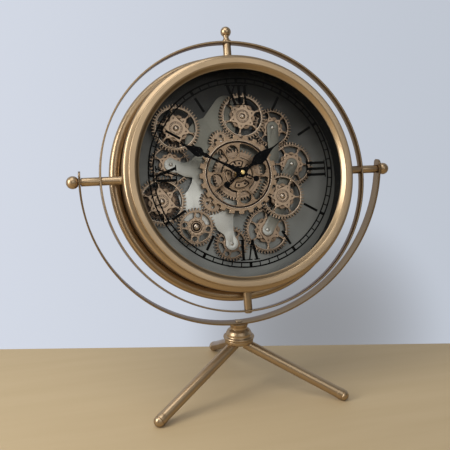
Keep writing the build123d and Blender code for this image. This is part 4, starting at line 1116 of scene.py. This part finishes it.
def dial_print():
    """Numerals, hour bars and the minute track, printed in black on the back of the glass."""
    bm = bmesh.new()
    for radius in TRACK:
        tube(bm, radius - TRACK_HALF, radius + TRACK_HALF, *PRINT_LAYER, 180)
    for minute in range(60):
        angle = 90 - 6 * minute
        width = MINUTE_STROKE if minute % 5 else FIVE_STROKE
        stroke(bm, polar(TRACK[0], angle), polar(TRACK[1], angle), width)
    for hour in range(12):
        angle = 90 - 30 * hour
        if hour % 3:
            stroke(bm, polar(BAR_RADII[0], angle), polar(BAR_RADII[1], angle), BAR_STROKE)
    for letters, angle in NUMERALS.items():
        numeral(bm, letters, angle)
    piece(bm, "dial_print", "clock", PRINT_BLACK)


dial_print()


# Back fittings
def setting_knob():
    """A knurled knob on a thin stem."""
    bm = bmesh.new()
    turn(bm, rounded(SETTING_KNOB, 3), 48)
    block_ring(bm, *KNOB_RIBS)
    piece(bm, "setting_knob_knurled", "knob", KNOB_GREY, ["setting_knob"], at(axis_spot("knob_turn")))


setting_knob()
softened_copy("gear_switch", "gear_switch_slider", "switch", KNOB_GREY, 0.4)

# Pieces inside the case keep their CAD shape and only take a finish
INSIDE = {"movement": PLASTIC, "movement_cell": CELL_SLEEVE, "bush_nuts": BRASS, "gear_motor": PLASTIC,
          "cell_box": PLASTIC, "drive_cells": CELL_SLEEVE, "dial_posts": STEEL, "hour_pipe": BRASS,
          "minute_arbor": BRASS, "drive_pinion": PLASTIC}
for node, finish in INSIDE.items():
    node_mesh = frame["nodes"][node].data
    node_mesh.materials.clear()
    node_mesh.materials.append(finish.material)

# Stage, light and camera, in metres
TABLE_SIZE = 6.0
TABLE_EDGE = 1.105
TABLE_TONES = ((0.49, 0.365, 0.20), (0.56, 0.43, 0.25))
WALL_LEFT = (0.67, 0.71, 0.80)
WALL_RIGHT = (0.52, 0.56, 0.63)
WALL_SHADE = Vector((0.37, 0.858, -0.357)).normalized()
SHADE_TONE = (0.26, 0.265, 0.28)
ROOM_TONE = (0.14, 0.143, 0.15)
LIGHTS = (("window_light", (-1.45, -0.4, 0.85), (0.65, 1.2), 18, (1.0, 0.985, 0.96)),
          ("ceiling_light", (-0.5, -0.5, 1.9), (1.3, 1.2), 12, (1.0, 0.985, 0.96)),
          ("fill_light", (0.2, -1.9, 1.3), (1.6, 1.4), 7, (1.0, 0.98, 0.95)))
CAMERA_PLACE = (-0.2599, TILT.y - 0.8951, 0.4516)
CAMERA_TURN = (radians(-14.928), radians(-11.208), radians(-0.747))
CAMERA_LENS = 50.906
CAMERA_SHIFT = (0.0022, -0.0058)


def stage():
    """A pale table top whose far edge lies just behind the clock, square to the camera."""
    finish = Finish("pale_floor", None, Roughness=0.7)
    mottle = finish.noise(1.0, 3, finish.stretched((3, 30, 3)))
    finish.done(Base_Color=finish.mix(mottle, *TABLE_TONES))
    under_camera = Matrix.Translation((*CAMERA_PLACE[:2], 0)) @ Matrix.Rotation(CAMERA_TURN[0], 4, "Z")
    place = under_camera @ Matrix.Translation((0, TABLE_EDGE - TABLE_SIZE / 2, 0))
    bm = bmesh.new()
    bmesh.ops.create_grid(bm, x_segments=1, y_segments=1, size=TABLE_SIZE / 2)
    bmesh.ops.transform(bm, matrix=place, verts=bm.verts)
    floor = to_object(bm, "floor", [finish])


def surroundings():
    """A pale wall behind the clock, with a soft shade at the lower right, and a dimmer room before it."""
    world = bpy.data.worlds.new("studio")
    bpy.context.scene.world = world
    world.use_nodes = True
    sky = Nodes(world.node_tree)
    way = sky.node("TexCoord", output="Generated")
    ahead = Vector((-sin(CAMERA_TURN[0]), cos(CAMERA_TURN[0]), 0))
    wall = sky.mix(sky.band(sky.dot(way, SIDE), -0.3, 0.7), WALL_LEFT, WALL_RIGHT)
    wall = sky.mix(sky.band(sky.dot(way, WALL_SHADE), 0.978, 1.004), wall, SHADE_TONE)
    colour = sky.mix(sky.band(sky.dot(way, ahead), -0.1, 0.6), ROOM_TONE, wall)
    sky.feed(world.node_tree.nodes["Background"].inputs["Color"], colour)


def lighting():
    """A window at the left, a ceiling light and a weak fill, all turned to the clock."""
    for name, place, size, power, colour in LIGHTS:
        lamp = bpy.data.lights.new(name, "AREA")
        lamp.shape = "RECTANGLE"
        lamp.size, lamp.size_y = size
        lamp.energy = power
        lamp.color = colour
        made = bpy.data.objects.new(name, lamp)
        made.location = place
        made.rotation_euler = (TILT - Vector(place)).to_track_quat("-Z", "Y").to_euler()
        bpy.context.scene.collection.objects.link(made)
    bpy.context.scene.view_settings.view_transform = "Standard"


def camera():
    """The camera, from its place and its yaw, pitch and roll."""
    yaw, pitch, roll = CAMERA_TURN
    turned = Matrix.Rotation(yaw, 4, "Z") @ Matrix.Rotation(pi / 2 + pitch, 4, "X")
    turned = turned @ Matrix.Rotation(roll, 4, "Z")
    lens = bpy.data.cameras.new("camera")
    lens.lens = CAMERA_LENS
    lens.shift_x, lens.shift_y = CAMERA_SHIFT
    made = bpy.data.objects.new("camera", lens)
    made.matrix_world = Matrix.Translation(CAMERA_PLACE) @ turned
    bpy.context.scene.collection.objects.link(made)
    bpy.context.scene.camera = made


stage()
surroundings()
lighting()
camera()
